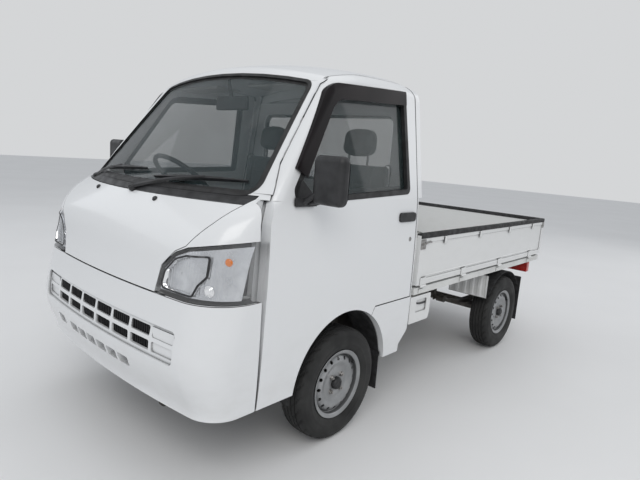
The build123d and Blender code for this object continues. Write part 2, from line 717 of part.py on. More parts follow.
def bumper_parts():
    """The front bumper and the slotted grille set into its opening."""
    region = bumper_region(0)
    skin = shell_low(0, BUMPER_THICKNESS) & region
    opening = [
        (GRILLE_HALF_WIDTH, GRILLE_LOW_Z),
        (GRILLE_HALF_WIDTH, GRILLE_HIGH_Z),
    ]
    y0, y1 = FRONT_Y - OVERRUN, BUMPER_REAR_Y
    skin = skin - front_prism(mirror_points(opening), y0, y1, GRILLE_RADIUS)
    slots = slot_grid(
        LOWER_SLOT_HALF_WIDTH, LOWER_SLOT_LOW_Z, LOWER_SLOT_HIGH_Z, LOWER_SLOTS, 1, GRILLE_BAR, y0, y1
    )
    for slot in slots:
        skin = skin - slot
    hole = RectangleRounded(*TOW_HOLE_SIZE, SLOT_RADIUS)
    skin = skin - extrude(front_plane(y1) * Pos(TOW_HOLE_X, TOW_HOLE_Z) * hole, amount=y1 - y0)
    inset = [(x - SEAT_GAP, z + SEAT_GAP * (1 if z < GRILLE_HIGH_Z else -1)) for x, z in opening]
    plate = front_prism(mirror_points(inset), y0, y1, GRILLE_RADIUS)
    grille = shell_low(GRILLE_DEPTH, GRILLE_DEPTH + GRILLE_THICKNESS) & plate
    bars = slot_grid(
        GRILLE_HALF_WIDTH - GRILLE_BAR, GRILLE_LOW_Z + GRILLE_BAR, GRILLE_HIGH_Z - GRILLE_BAR,
        GRILLE_SLOTS, GRILLE_ROWS, GRILLE_BAR, y0, y1,
    )
    for slot in bars:
        grille = grille - slot
    return {"front_bumper": largest(skin), "grille": largest(grille)}


# Ladder frame
RAIL_INNER_X = 340.0
RAIL_OUTER_X = 400.0
RAIL_POINTS = (
    (-1585.0, 330.0),
    (-430.0, 330.0),
    (-190.0, 470.0),
    (1650.0, 470.0),
    (1650.0, 590.0),
    (-240.0, 590.0),
    (-480.0, 412.0),
    (-1585.0, 412.0),
)
# Cross members by their place along Y and their lower and upper edges
CROSS_MEMBERS = ((-1565.0, 335.0, 405.0), (-1200.0, 335.0, 400.0), (-100.0, 490.0, 570.0),
                 (700.0, 490.0, 570.0), (1380.0, 490.0, 570.0), (1630.0, 480.0, 580.0))
CROSS_MEMBER_LENGTH = 40.0
TOW_EYE_X = 370.0
TOW_EYE_THICKNESS = 12.0
TOW_EYE_RADIUS = 26.0
TOW_EYE_BORE_RADIUS = 14.0
TOW_EYE_DROP = 40.0
TOW_EYE_PLACES = ((-1560.0, 330.0), (1600.0, 470.0))


def frame_rails():
    """The ladder frame: two box rails that kick up behind the cab, and their cross members."""
    rail = side_prism(RAIL_POINTS, RAIL_INNER_X, RAIL_OUTER_X)
    half = CROSS_MEMBER_LENGTH / 2
    members = [
        block((-RAIL_INNER_X, y - half, low), (RAIL_INNER_X, y + half, high))
        for y, low, high in CROSS_MEMBERS
    ]
    eyes = []
    for y, z in TOW_EYE_PLACES:
        x0, x1 = TOW_EYE_X - TOW_EYE_THICKNESS / 2, TOW_EYE_X + TOW_EYE_THICKNESS / 2
        eye = block((x0, y - TOW_EYE_RADIUS, z - TOW_EYE_DROP), (x1, y + TOW_EYE_RADIUS, z))
        eye = eye + cross_tube(x0, x1, y, z - TOW_EYE_DROP, TOW_EYE_RADIUS)
        eyes.append(eye - cross_tube(x0, x1, y, z - TOW_EYE_DROP, TOW_EYE_BORE_RADIUS))
    return join(rail, mirrored(rail), *members, *eyes)


# Cab floor, seat box and wheel housings
FLOOR_HALF_WIDTH = 640.0
FLOOR_THICKNESS = 8.0
REAR_FLOOR_HALF_WIDTH = 632.0
FLOOR_POINTS = (
    (-1530.0, 900.0),
    (-1560.0, 560.0),
    (-1470.0, 424.0),
    (-1190.0, 424.0),
    (-1184.0, 640.0),
    (-300.0, 656.0),
)
WELL_INNER_X = 408.0
WELL_WALL = 8.0
WELL_LOW_Z = 420.0
WELL_REAR_Y = -512.0
WELL_FRONT_Y = -1180.0


def cab_floor():
    """The pressed floor: toe board, footwell, riser and seat box, with walls beside the wheels."""
    sheet = extrude(
        Plane.YZ.offset(-FLOOR_HALF_WIDTH) * trace(Polyline(*FLOOR_POINTS), line_width=FLOOR_THICKNESS),
        amount=2 * FLOOR_HALF_WIDTH,
    )
    top = FLOOR_POINTS[-2][1] + FLOOR_THICKNESS / 2
    wall = block((WELL_INNER_X, WELL_FRONT_Y, WELL_LOW_Z), (WELL_INNER_X + WELL_WALL, WELL_REAR_Y, top))
    back = block((WELL_INNER_X, WELL_REAR_Y - WELL_WALL, WELL_LOW_Z), (FLOOR_HALF_WIDTH, WELL_REAR_Y, top))
    pieces = [sheet]
    for piece in (wall, back):
        pieces += [piece, mirrored(piece)]
    rear = block(
        (-REAR_FLOOR_HALF_WIDTH, FRONT_AXLE_Y, WELL_LOW_Z),
        (REAR_FLOOR_HALF_WIDTH, CAB_REAR_Y - REAR_WALL_THICKNESS - SEAT_GAP, BELT_Z),
    )
    return largest(join(*pieces) & (lower(SIDE_DEPTH + SEAT_GAP) + rear))


# Cab interior
DASH_HALF_WIDTH = 628.0
DASH_POINTS = (
    (-1480.0, 930.0),
    (-1500.0, 1090.0),
    (-1400.0, 1112.0),
    (-1235.0, 1098.0),
    (-1200.0, 1050.0),
    (-1215.0, 930.0),
    (-1260.0, 890.0),
)
DASH_RADII = (10.0, 16.0, 60.0, 26.0, 22.0, 20.0, 20.0)
SEAT_CENTRE_X = 352.0
SEAT_WIDTH = 450.0
SEAT_BACK_WIDTH = 430.0
HEADREST_WIDTH = 250.0
SEAT_CUSHION_POINTS = ((-905.0, 700.0), (-895.0, 772.0), (-470.0, 752.0), (-420.0, 668.0), (-870.0, 668.0))
SEAT_CUSHION_RADII = (24.0, 34.0, 14.0, 12.0, 24.0)
SEAT_BACK_POINTS = ((-500.0, 756.0), (-415.0, 1306.0), (-345.0, 1312.0), (-345.0, 1240.0), (-400.0, 756.0))
SEAT_BACK_RADII = (20.0, 32.0, 30.0, 30.0, 20.0)
HEADREST_POINTS = ((-418.0, 1338.0), (-402.0, 1490.0), (-336.0, 1496.0), (-342.0, 1338.0))
HEADREST_RADIUS = 24.0
HEADREST_POST_RADIUS = 6.0
HEADREST_POST_SPACING = 130.0
SEAT_EDGE_RADIUS = 16.0
STEER_CENTRE = (-355.0, -1035.0, 1150.0)
STEER_TILT_DEG = 40.0
STEER_RING_RADIUS = 178.0
STEER_GRIP_RADIUS = 13.0
STEER_HUB_RADIUS = 48.0
STEER_HUB_LENGTH = 46.0
STEER_DISH = 26.0
SPOKE_WIDTH = 40.0
SPOKE_THICKNESS = 14.0
COLUMN_RADIUS = 30.0
COLUMN_LENGTH = 400.0
COLUMN_GAP = 6.0
CABIN_MIRROR_CENTRE = (60.0, -1040.0, 1548.0)
CABIN_MIRROR_SIZE = (236.0, 22.0, 66.0)
CABIN_MIRROR_RADIUS = 9.0


def slab_at(points, radii, centre_x, width, edge):
    """A side outline extruded to a width about a place along X, with softened outer edges."""
    body = side_prism(points, centre_x - width / 2, centre_x + width / 2, radii)
    faces = body.faces().filter_by(Plane.YZ)
    return fillet(faces.edges(), edge)


def steering_plane():
    """The steering wheel's plane: its normal runs up the column to the driver."""
    tilt = math.radians(STEER_TILT_DEG)
    return Plane(origin=STEER_CENTRE, x_dir=(1, 0, 0), z_dir=(0, math.sin(tilt), math.cos(tilt)))


def interior_parts():
    """The seats, the dashboard with its steering column, and the steering wheel."""
    seats = []
    for side in (1, -1):
        x = side * SEAT_CENTRE_X
        seats.append(slab_at(SEAT_CUSHION_POINTS, SEAT_CUSHION_RADII, x, SEAT_WIDTH, SEAT_EDGE_RADIUS / 2))
        back = slab_at(SEAT_BACK_POINTS, SEAT_BACK_RADII, x, SEAT_BACK_WIDTH, SEAT_EDGE_RADIUS)
        rest = slab_at(HEADREST_POINTS, HEADREST_RADIUS, x, HEADREST_WIDTH, SEAT_EDGE_RADIUS)
        post_y = (HEADREST_POINTS[0][0] + HEADREST_POINTS[3][0]) / 2
        post_low = SEAT_BACK_POINTS[3][1]
        post_high = HEADREST_POINTS[1][1] - HEADREST_RADIUS
        posts = [
            rod((x + dx, post_y, post_low), (x + dx, post_y, post_high), HEADREST_POST_RADIUS)
            for dx in (-HEADREST_POST_SPACING / 2, HEADREST_POST_SPACING / 2)
        ]
        seats.append(join(back, rest, *posts))
    plane = steering_plane()
    dash = side_prism(DASH_POINTS, -DASH_HALF_WIDTH, DASH_HALF_WIDTH, DASH_RADII)
    dash = dash & lower(SIDE_DEPTH + SEAT_GAP)
    start = STEER_DISH + STEER_HUB_LENGTH / 2 + COLUMN_GAP
    column = extrude(plane.offset(-start) * Circle(COLUMN_RADIUS), amount=-COLUMN_LENGTH)
    dash = largest(join(dash, column))
    ring = plane * Torus(STEER_RING_RADIUS, STEER_GRIP_RADIUS)
    hub_low = plane.offset(-STEER_DISH - STEER_HUB_LENGTH / 2)
    hub = extrude(hub_low * Circle(STEER_HUB_RADIUS), amount=STEER_HUB_LENGTH)
    spokes = []
    for angle in (0, 180, 270):
        bar = Box(STEER_RING_RADIUS, SPOKE_WIDTH, SPOKE_THICKNESS)
        spoke = Pos(STEER_RING_RADIUS / 2, 0, -STEER_DISH / 2) * bar
        spokes.append(plane * Rot(0, 0, angle) * spoke)
    mirror_body = Pos(*CABIN_MIRROR_CENTRE) * Box(*CABIN_MIRROR_SIZE)
    mirror_body = fillet(mirror_body.edges(), CABIN_MIRROR_RADIUS)
    root = (0, CABIN_MIRROR_CENTRE[1] - CABIN_MIRROR_RADIUS, OVERALL_HEIGHT)
    stem = rod(CABIN_MIRROR_CENTRE, root, CABIN_MIRROR_RADIUS)
    stem = stem & upper(ROOF_THICKNESS)
    return {
        "seats": Part() + [s for seat in seats for s in solids_of(seat)],
        "dashboard": dash,
        "steering_wheel": join(ring, hub, *spokes),
        "cabin_mirror": largest(join(mirror_body, stem)),
    }


# Bed: deck, edge rails and cross ribs
DECK_Z = 660.0
DECK_THICKNESS = 10.0
DECK_HALF_WIDTH = 695.0
DECK_FRONT_Y = -256.0
DECK_REAR_Y = 1684.0
BED_RAIL_INNER_X = 676.0
BED_RAIL_OUTER_X = 719.0
BED_RAIL_LOW_Z = 612.0
BED_RAIL_TOP_Z = 650.0
RIB_LOW_Z = 592.0
RIB_LENGTH = 50.0
RIB_PLACES = (-225.0, 30.0, 330.0, 640.0, 1000.0, 1340.0, 1650.0)
HINGE_PLACES = (-190.0, 301.0, 857.0, 1444.0)
BRACKET_LENGTH = 46.0
BRACKET_DROP = 22.0
BRACKET_DEPTH = 4.0


def bed_floor():
    """The bed's deck plate on its edge rails and cross ribs, with hinge brackets along the rails."""
    low_z = DECK_Z - DECK_THICKNESS
    deck = block((-DECK_HALF_WIDTH, DECK_FRONT_Y, low_z), (DECK_HALF_WIDTH, DECK_REAR_Y, DECK_Z))
    rail = block(
        (BED_RAIL_INNER_X, DECK_FRONT_Y, BED_RAIL_LOW_Z),
        (BED_RAIL_OUTER_X, DECK_REAR_Y, BED_RAIL_TOP_Z),
    )
    half = RIB_LENGTH / 2
    ribs = [
        block((-BED_RAIL_INNER_X, y - half, RIB_LOW_Z), (BED_RAIL_INNER_X, y + half, low_z))
        for y in RIB_PLACES
    ]
    half = BRACKET_LENGTH / 2
    top = BED_RAIL_TOP_Z - DECK_THICKNESS
    brackets = [
        block(
            (BED_RAIL_OUTER_X, y - half, top - BRACKET_DROP),
            (BED_RAIL_OUTER_X + BRACKET_DEPTH, y + half, top),
        )
        for y in HINGE_PLACES
    ]
    pieces = [deck, *ribs]
    for piece in (rail, *brackets):
        pieces += [piece, mirrored(piece)]
    return join(*pieces)


# Drop gates: panels with pressed borders, barrels on the hinge line and rubber top rails
GATE_LOW_Z = 666.0
GATE_TOP_Z = 944.0
GATE_RUBBER_HEIGHT = 12.0
GATE_INNER_X = 701.0
GATE_OUTER_X = 727.0
GATE_FRONT_Y = -251.0
GATE_REAR_Y = 1685.0
GATE_AXIS_X = 731.5
GATE_AXIS_Z = 658.0
GATE_BARREL_RADIUS = 6.0
GATE_BARREL_LENGTH = 62.0
GATE_STRAP_HEIGHT = 40.0
GATE_STRAP_DEPTH = 4.0
GATE_CREASE_Z = 700.0
GATE_PANEL_DEPTH = 5.0
GATE_BORDER = 38.0
TAILGATE_HALF_WIDTH = 695.0
TAILGATE_AXIS_Y = 1691.5
TAILGATE_HINGE_PLACES = (-430.0, 0.0, 430.0)


def gate_panel(length, hinge_places):
    """A gate lying along X from zero, its outer face towards +Y, with its hinge line at Z zero."""
    depth = GATE_OUTER_X - GATE_INNER_X
    low = GATE_LOW_Z - GATE_AXIS_Z
    high = GATE_TOP_Z - GATE_AXIS_Z
    face_y = GATE_OUTER_X - GATE_AXIS_X
    panel = block((0, face_y - depth, low), (length, face_y, high))
    crease = GATE_CREASE_Z - GATE_AXIS_Z
    field = block(
        (GATE_BORDER, face_y - GATE_PANEL_DEPTH, crease),
        (length - GATE_BORDER, face_y + SEAM, high - GATE_BORDER),
    )
    field = fillet(field.edges().filter_by(Axis.Y), GATE_PANEL_DEPTH * 2)
    panel = panel - field
    parts = [panel]
    for x in hinge_places:
        half = GATE_BARREL_LENGTH / 2
        barrel = rod((x - half, 0, 0), (x + half, 0, 0), GATE_BARREL_RADIUS)
        strap = block((x - half, face_y, 0), (x + half, face_y + GATE_STRAP_DEPTH, low + GATE_STRAP_HEIGHT))
        parts += [barrel, strap]
    rubber = block((0, face_y - depth, high + SEAT_GAP), (length, face_y, high + GATE_RUBBER_HEIGHT))
    rubber = fillet(rubber.edges().filter_by(Axis.X).group_by(Axis.Z)[-1], GATE_RUBBER_HEIGHT / 3)
    return join(*parts), rubber


def gate_parts():
    """The two side gates and the tailgate, each with its rubber top rail."""
    parts = {}
    length = GATE_REAR_Y - GATE_FRONT_Y
    places = [y - GATE_FRONT_Y for y in HINGE_PLACES]
    shapes = gate_panel(length, places)
    frame = Plane(origin=(-GATE_AXIS_X, GATE_FRONT_Y, GATE_AXIS_Z), x_dir=(0, 1, 0), z_dir=(0, 0, 1))
    for name, shape in zip(("gate", "gate_rail"), shapes):
        right = frame * shape
        parts[f"{name}_left"] = mirrored(right)
        parts[f"{name}_right"] = right
    places = [x + TAILGATE_HALF_WIDTH for x in TAILGATE_HINGE_PLACES]
    shapes = gate_panel(2 * TAILGATE_HALF_WIDTH, places)
    move = Pos(-TAILGATE_HALF_WIDTH, TAILGATE_AXIS_Y, GATE_AXIS_Z)
    for name, shape in zip(("tailgate", "tailgate_rail"), shapes):
        parts[name] = move * shape
    return parts


# Guard frame at the bed's front: board, posts and cross bars
GUARD_FRONT_Y = -281.0
GUARD_REAR_Y = -259.0
GUARD_BOARD_HALF_WIDTH = 693.0
GUARD_BOARD_TOP_Z = 956.0
GUARD_POST_X = 586.0
GUARD_TUBE = 22.0
GUARD_TOP_Z = 1640.0
GUARD_BAR_Z = 1030.0


def guard_frame():
    """The headboard and the frame of square tubes that shields the cab's rear window."""
    low_z = DECK_Z + SEAT_GAP
    board = block(
        (-GUARD_BOARD_HALF_WIDTH, GUARD_FRONT_Y, low_z),
        (GUARD_BOARD_HALF_WIDTH, GUARD_REAR_Y, GUARD_BOARD_TOP_Z),
    )
    half = GUARD_TUBE / 2
    pieces = [board]
    for x in (-GUARD_POST_X, GUARD_POST_X):
        pieces.append(block((x - half, GUARD_FRONT_Y, low_z), (x + half, GUARD_REAR_Y, GUARD_TOP_Z)))
    for z in (GUARD_BAR_Z, GUARD_TOP_Z - half):
        low, high = (-GUARD_POST_X, GUARD_FRONT_Y, z - half), (GUARD_POST_X, GUARD_REAR_Y, z + half)
        pieces.append(block(low, high))
    return join(*pieces)


# Mudguards, flaps and side fillers
LINER_RADIUS = 312.0
LINER_THICKNESS = 4.0
LINER_INNER_X = 560.0
LINER_OUTER_X = 716.0
LINER_START_DEG = 35.0
LINER_SWEEP_DEG = 112.0
SPLASH_Y = 744.0
SPLASH_X = (425.0, 716.0)
SPLASH_Z = (425.0, 591.0)
REAR_FLAP_Y = 1380.0
REAR_FLAP_Z = (150.0, 500.0)
FRONT_FLAP_Y = -536.0
FRONT_FLAP_Z = (150.0, 352.0)
FLAP_X = (584.0, 712.0)
FLAP_THICKNESS = 6.0
FILLER_POINTS = ((-276.0, 446.0), (-70.0, 446.0), (-58.0, 486.0), (-58.0, 600.0), (-276.0, 600.0))
FILLER_RADIUS = 10.0
FILLER_X = (700.0, 716.0)
FILLER_POCKET_Y = (-212.0, -100.0)
FILLER_POCKET_Z = (502.0, 576.0)
FILLER_POCKET_DEPTH = 9.0


def mudguards():
    """Rear wheel liners, splash plates and the four mud flaps."""
    rear_plane = Plane(origin=(LINER_INNER_X, REAR_AXLE_Y, WHEEL_Z), x_dir=(0, 1, 0), z_dir=(1, 0, 0))
    arc = CenterArc((0, 0), LINER_RADIUS, LINER_START_DEG, LINER_SWEEP_DEG)
    liner = extrude(rear_plane * trace(arc, line_width=LINER_THICKNESS), amount=LINER_OUTER_X - LINER_INNER_X)
    plates = (
        (SPLASH_X, SPLASH_Y, LINER_THICKNESS, SPLASH_Z),
        (FLAP_X, REAR_FLAP_Y, FLAP_THICKNESS, REAR_FLAP_Z),
        (FLAP_X, FRONT_FLAP_Y, FLAP_THICKNESS, FRONT_FLAP_Z),
    )
    pieces = [liner]
    for x, y, thickness, z in plates:
        pieces.append(block((x[0], y, z[0]), (x[1], y + thickness, z[1])))
    return Part() + [s for p in pieces for q in (p, mirrored(p)) for s in solids_of(q)]


def filler_panels():
    """The pressed panels that close the gap behind the cab, below the bed."""
    plate = side_prism(FILLER_POINTS, *FILLER_X, FILLER_RADIUS)
    pocket = block(
        (FILLER_X[1] - FILLER_POCKET_DEPTH, FILLER_POCKET_Y[0], FILLER_POCKET_Z[0]),
        (SIDE_OUTER_X, FILLER_POCKET_Y[1], FILLER_POCKET_Z[1]),
    )
    plate = plate - fillet(pocket.edges().filter_by(Axis.X), FILLER_RADIUS)
    return Part() + [plate, mirrored(plate)]


# Running gear
AXLE_TUBE_RADIUS = 33.0
AXLE_HALF_LENGTH = 572.0
DIFF_RADIUS = 96.0
DIFF_LENGTH = 150.0
DRUM_RADIUS = 104.0
DRUM_X = (572.0, 668.0)
STUB_RADIUS = 24.0
STUB_END_X = 680.0
SHAFT_RADIUS = 26.0
SHAFT_FRONT = (0.0, -470.0, 385.0)
SPRING_X = (426.0, 482.0)
SPRING_HALF_LENGTH = 470.0
SPRING_SAG = 74.0
SPRING_Z = 316.0
SPRING_THICKNESS = 20.0
SPRING_EYE_RADIUS = 22.0
HANGER_LENGTH = 36.0
ARM_Z = 196.0
ARM_RADIUS = 14.0
ARM_ROOT = (404.0, 100.0)
ARM_TIP_X = 536.0
STRUT_X = 500.0
STRUT_RADIUS = 24.0
STRUT_TOP_Z = 634.0
SPRING_COIL_RADIUS = 34.0
COIL_LOW_Z = 470.0
RACK_RADIUS = 20.0
RACK_Y_OFFSET = -260.0
RACK_Z = 372.0
UPRIGHT_X = (585.0, 612.0)
UPRIGHT_HALF = 42.0
UPRIGHT_Z = (172.0, 372.0)
BRAKE_X = (612.0, 668.0)
TIE_ARM_X = (546.0, 572.0)
TIE_ARM_Y = -122.0
TIE_ARM_Z = (292.0, 316.0)


def rear_axle():
    """The live rear axle: tube, differential, brake drums, hub stubs and propeller shaft."""
    y, z = REAR_AXLE_Y, WHEEL_Z
    tube = cross_tube(-AXLE_HALF_LENGTH, AXLE_HALF_LENGTH, y, z, AXLE_TUBE_RADIUS)
    ball = Pos(0, y, z) * Sphere(DIFF_RADIUS)
    pinion = rod((0, y - DIFF_LENGTH, z), (0, y, z), DIFF_RADIUS / 2)
    shaft = rod(SHAFT_FRONT, (0, y - DIFF_LENGTH, z), SHAFT_RADIUS)
    pieces = [tube, ball, pinion, shaft]
    for sign in (1, -1):
        low, high = sorted((sign * DRUM_X[0], sign * DRUM_X[1]))
        pieces.append(cross_tube(low, high, y, z, DRUM_RADIUS))
        low, high = sorted((sign * DRUM_X[1], sign * STUB_END_X))
        pieces.append(cross_tube(low, high, y, z, STUB_RADIUS))
    return join(*pieces)


def leaf_springs():
    """Two bowed leaf springs with their eyes, hangers to the rails and axle pads."""
    chord, sag = SPRING_HALF_LENGTH, SPRING_SAG
    ends = [(REAR_AXLE_Y - chord, SPRING_Z + sag), (REAR_AXLE_Y + chord, SPRING_Z + sag)]
    arc = ThreePointArc(ends[0], (REAR_AXLE_Y, SPRING_Z), ends[1])
    plane = Plane.YZ.offset(SPRING_X[0])
    width = SPRING_X[1] - SPRING_X[0]
    pieces = [extrude(plane * trace(arc, line_width=SPRING_THICKNESS), amount=width)]
    for y, z in ends:
        pieces.append(cross_tube(SPRING_X[0], SPRING_X[1], y, z, SPRING_EYE_RADIUS))
        pieces.append(cross_tube(RAIL_OUTER_X, SPRING_X[0], y, z, SPRING_EYE_RADIUS / 2))
        half = HANGER_LENGTH / 2
        top = RAIL_POINTS[3][1] + half
        pieces.append(block((RAIL_OUTER_X, y - half, z - half), (RAIL_OUTER_X + SEAM, y + half, top)))
    left = join(*pieces)
    return Part() + [left, mirrored(left)]


def front_suspension():
    """Struts, lower arms and the steering rack, all carried by the frame."""
    y = FRONT_AXLE_Y
    root_x, spread = ARM_ROOT
    pieces = []
    for dy in (-spread, spread):
        pieces.append(rod((root_x, y + dy, ARM_Z), (ARM_TIP_X, y, ARM_Z), ARM_RADIUS))
        pieces.append(rod((root_x, y + dy, ARM_Z), (root_x, y + dy, RAIL_POINTS[0][1]), ARM_RADIUS))
    pieces.append(Pos(ARM_TIP_X, y, ARM_Z) * Sphere(ARM_RADIUS))
    pieces.append(rod((STRUT_X, y, ARM_Z), (STRUT_X, y, STRUT_TOP_Z), STRUT_RADIUS))
    pieces.append(rod((STRUT_X, y, COIL_LOW_Z), (STRUT_X, y, STRUT_TOP_Z), SPRING_COIL_RADIUS))
    left = join(*pieces)
    rack = cross_tube(-RAIL_INNER_X, RAIL_INNER_X, y + RACK_Y_OFFSET, RACK_Z, RACK_RADIUS)
    return Part() + [*solids_of(left), *solids_of(mirrored(left)), *solids_of(rack)]


def knuckle():
    """The left steering knuckle: upright, brake drum, hub stub and tie-rod arm."""
    y, z = FRONT_AXLE_Y, WHEEL_Z
    upright = block(
        (UPRIGHT_X[0], y - UPRIGHT_HALF, UPRIGHT_Z[0]),
        (UPRIGHT_X[1], y + UPRIGHT_HALF, UPRIGHT_Z[1]),
    )
    drum = cross_tube(*BRAKE_X, y, z, DRUM_RADIUS)
    stub = cross_tube(BRAKE_X[1], STUB_END_X, y, z, STUB_RADIUS)
    root_y = UPRIGHT_HALF / 2
    arm = block((TIE_ARM_X[0], y + TIE_ARM_Y, TIE_ARM_Z[0]), (TIE_ARM_X[1], y + root_y, TIE_ARM_Z[1]))
    neck = block((TIE_ARM_X[0], y - root_y, TIE_ARM_Z[0]), (UPRIGHT_X[0], y + root_y, TIE_ARM_Z[1]))
    return join(upright, drum, stub, arm, neck)


# Wheel profiles as distances from the wheel's mid plane, outwards, and radii
RIM_OUTLINE = (
    (-60.5, 166.0), (-55.0, 166.0), (-51.0, 152.0), (-24.0, 152.0), (-16.0, 139.0), (16.0, 139.0),
    (26.0, 152.0), (51.0, 152.0), (55.0, 166.0), (60.5, 166.0), (59.0, 159.0), (55.0, 146.0),
    (34.0, 146.0), (47.0, 128.0), (52.0, 112.0), (44.0, 92.0), (41.0, 80.0), (41.0, 30.0),
    (36.0, 30.0), (36.0, 81.0), (39.0, 95.0), (46.0, 112.0), (42.0, 125.0), (26.0, 145.0),
    (19.0, 134.0), (-19.0, 134.0), (-28.0, 146.0), (-55.0, 146.0), (-59.0, 159.0),
)
TYRE_OUTLINE = (
    (-51.0, 152.4), (-51.6, 167.0), (-64.0, 178.0), (-72.0, 200.0), (-73.0, 222.0), (-68.0, 248.0),
    (-56.0, 266.0), (-40.0, 271.0), (40.0, 271.0), (56.0, 266.0), (68.0, 248.0), (73.0, 222.0),
    (72.0, 200.0), (64.0, 178.0), (51.6, 167.0), (51.0, 152.4), (36.0, 152.4), (42.0, 172.0),
    (62.0, 205.0), (58.0, 245.0), (40.0, 258.0), (-40.0, 258.0), (-58.0, 245.0), (-62.0, 205.0),
    (-42.0, 172.0), (-36.0, 152.4),
)
CAP_RADIUS = 28.0
CAP_X = (36.0, 66.0)
NUT_RADIUS = 10.0
NUT_CIRCLE_RADIUS = 50.0
NUT_X = (40.0, 56.0)
NUTS = 4
VENT_PLACE_RADIUS = 118.0


def spun(outline):
    """A closed outline of places along X and radii, turned about the X axis."""
    face = make_face(Plane.XY * Polyline(*outline, close=True))
    return revolve(face, axis=Axis.X)


def wheel_parts():
    """A left wheel about the origin: the ventilated steel rim with its cap and nuts, and its tyre."""
    rim = spun(RIM_OUTLINE)
    for i in range(VENT_COUNT):
        angle = 2 * math.pi * i / VENT_COUNT
        y, z = VENT_PLACE_RADIUS * math.cos(angle), VENT_PLACE_RADIUS * math.sin(angle)
        rim = rim - cross_tube(RIM_OUTLINE[5][0] + SEAM, RIM_OUTLINE[9][0], y, z, VENT_RADIUS)
    parts = [rim, cross_tube(*CAP_X, 0, 0, CAP_RADIUS + PANEL_GAP)]
    for i in range(NUTS):
        angle = 2 * math.pi * (i + 1 / 2) / NUTS
        y, z = NUT_CIRCLE_RADIUS * math.cos(angle), NUT_CIRCLE_RADIUS * math.sin(angle)
        parts.append(cross_tube(*NUT_X, y, z, NUT_RADIUS))
    return largest(join(*parts)), spun(TYRE_OUTLINE)


# Engine, tank, exhaust, radiator and tail lamps
ENGINE_BLOCKS = (
    ((-190.0, -1080.0, 300.0), (210.0, -620.0, 520.0)),
    ((-130.0, -1040.0, 520.0), (150.0, -680.0, 610.0)),
    ((-120.0, -640.0, 300.0), (120.0, -480.0, 470.0)),
)
RADIATOR_LOW = (-290.0, -1625.0, 440.0)
RADIATOR_HIGH = (290.0, -1590.0, 740.0)
TANK_LOW = (-660.0, -20.0, 350.0)
TANK_HIGH = (-430.0, 540.0, 560.0)
TANK_RADIUS = 34.0
TANK_STRAP_LENGTH = 30.0
TANK_STRAP_PLACES = (120.0, 460.0)
PIPE_RADIUS = 20.0
MUFFLER_RADIUS = 66.0
MUFFLER_LENGTH = 420.0
PIPE_POINTS = (
    (240.0, -610.0, 330.0), (240.0, 260.0, 420.0), (240.0, 850.0, 424.0), (240.0, 1260.0, 424.0),
    (240.0, 1660.0, 380.0),
)
TAIL_LAMP_LOW = (440.0, 1606.0, 500.0)
TAIL_LAMP_HIGH = (670.0, 1656.0, 585.0)
TAIL_LAMP_RADIUS = 8.0


def drivetrain_parts():
    """The engine with its gearbox, the radiator, the fuel tank and the exhaust."""
    engine = join(*[block(low, high) for low, high in ENGINE_BLOCKS])
    radiator = block(RADIATOR_LOW, RADIATOR_HIGH)
    tank = fillet(block(TANK_LOW, TANK_HIGH).edges(), TANK_RADIUS)
    inner_x = -RAIL_OUTER_X - SEAT_GAP
    low_z, top_z = RAIL_POINTS[3][1] + SEAM, TANK_HIGH[2] - TANK_RADIUS
    straps = [
        block((TANK_HIGH[0] - TANK_RADIUS, y, low_z), (inner_x, y + TANK_STRAP_LENGTH, top_z))
        for y in TANK_STRAP_PLACES
    ]
    pipes = [rod(a, b, PIPE_RADIUS) for a, b in zip(PIPE_POINTS, PIPE_POINTS[1:])]
    bends = [Pos(*p) * Sphere(PIPE_RADIUS) for p in PIPE_POINTS[1:-1]]
    start = PIPE_POINTS[1]
    muffler = rod(start, (start[0], start[1] + MUFFLER_LENGTH, start[2]), MUFFLER_RADIUS)
    return {
        "engine": engine,
        "radiator": radiator,
        "fuel_tank": join(tank, *straps),
        "exhaust": largest(join(*pipes, *bends, muffler)),
    }


# Wipers: pivots on the cowl, arms and blades over the glass
WIPER_PIVOTS = ((-500.0, -1462.0), (60.0, -1562.0))
WIPER_TIPS = ((-180.0, 1200.0), (450.0, 1196.0))
WIPER_LIFT = 14.0
WIPER_ARM_RADIUS = 6.0
WIPER_BLADE_LENGTH = 420.0
WIPER_PIVOT_RADIUS = 14.0
WIPER_PIVOT_Z = 1144.0


def glass_point(x, z, lift):
    """A point over the windscreen's surface by lift, measured ahead of it along Y."""
    share = (z - BELT_Z) / (GLASS_HEAD_Z - BELT_Z)
    radius = GLASS_FOOT_RADIUS + share * (GLASS_HEAD_RADIUS - GLASS_FOOT_RADIUS)
    setback = GLASS_FOOT_SETBACK + share * (GLASS_HEAD_SETBACK - GLASS_FOOT_SETBACK)
    return (x, FRONT_Y + setback + radius - math.sqrt(radius**2 - x**2) - lift, z)


def wipers():
    """Two wiper arms with their pivots and straight blades, standing just off the glass."""
    pieces = []
    for pivot, tip in zip(WIPER_PIVOTS, WIPER_TIPS):
        foot = glass_point(pivot[0], BELT_Z, WIPER_LIFT * 2)
        foot = (foot[0], foot[1], WIPER_PIVOT_Z)
        end = glass_point(tip[0], tip[1], WIPER_LIFT * 2)
        arm = rod(foot, end, WIPER_ARM_RADIUS)
        pin = rod(foot, (foot[0], foot[1] + WIPER_LIFT * 3, foot[2] - WIPER_LIFT * 2), WIPER_PIVOT_RADIUS)
        pin = pin - lower(-SEAT_GAP)
        half = WIPER_BLADE_LENGTH / 2
        blade = rod(
            glass_point(tip[0] - half, tip[1] - WIPER_LIFT, WIPER_LIFT * 2),
            glass_point(tip[0] + half / 2, tip[1], WIPER_LIFT * 2),
            WIPER_ARM_RADIUS,
        )
        pieces.append(largest(join(arm, largest(pin), blade)))
    return Part() + pieces


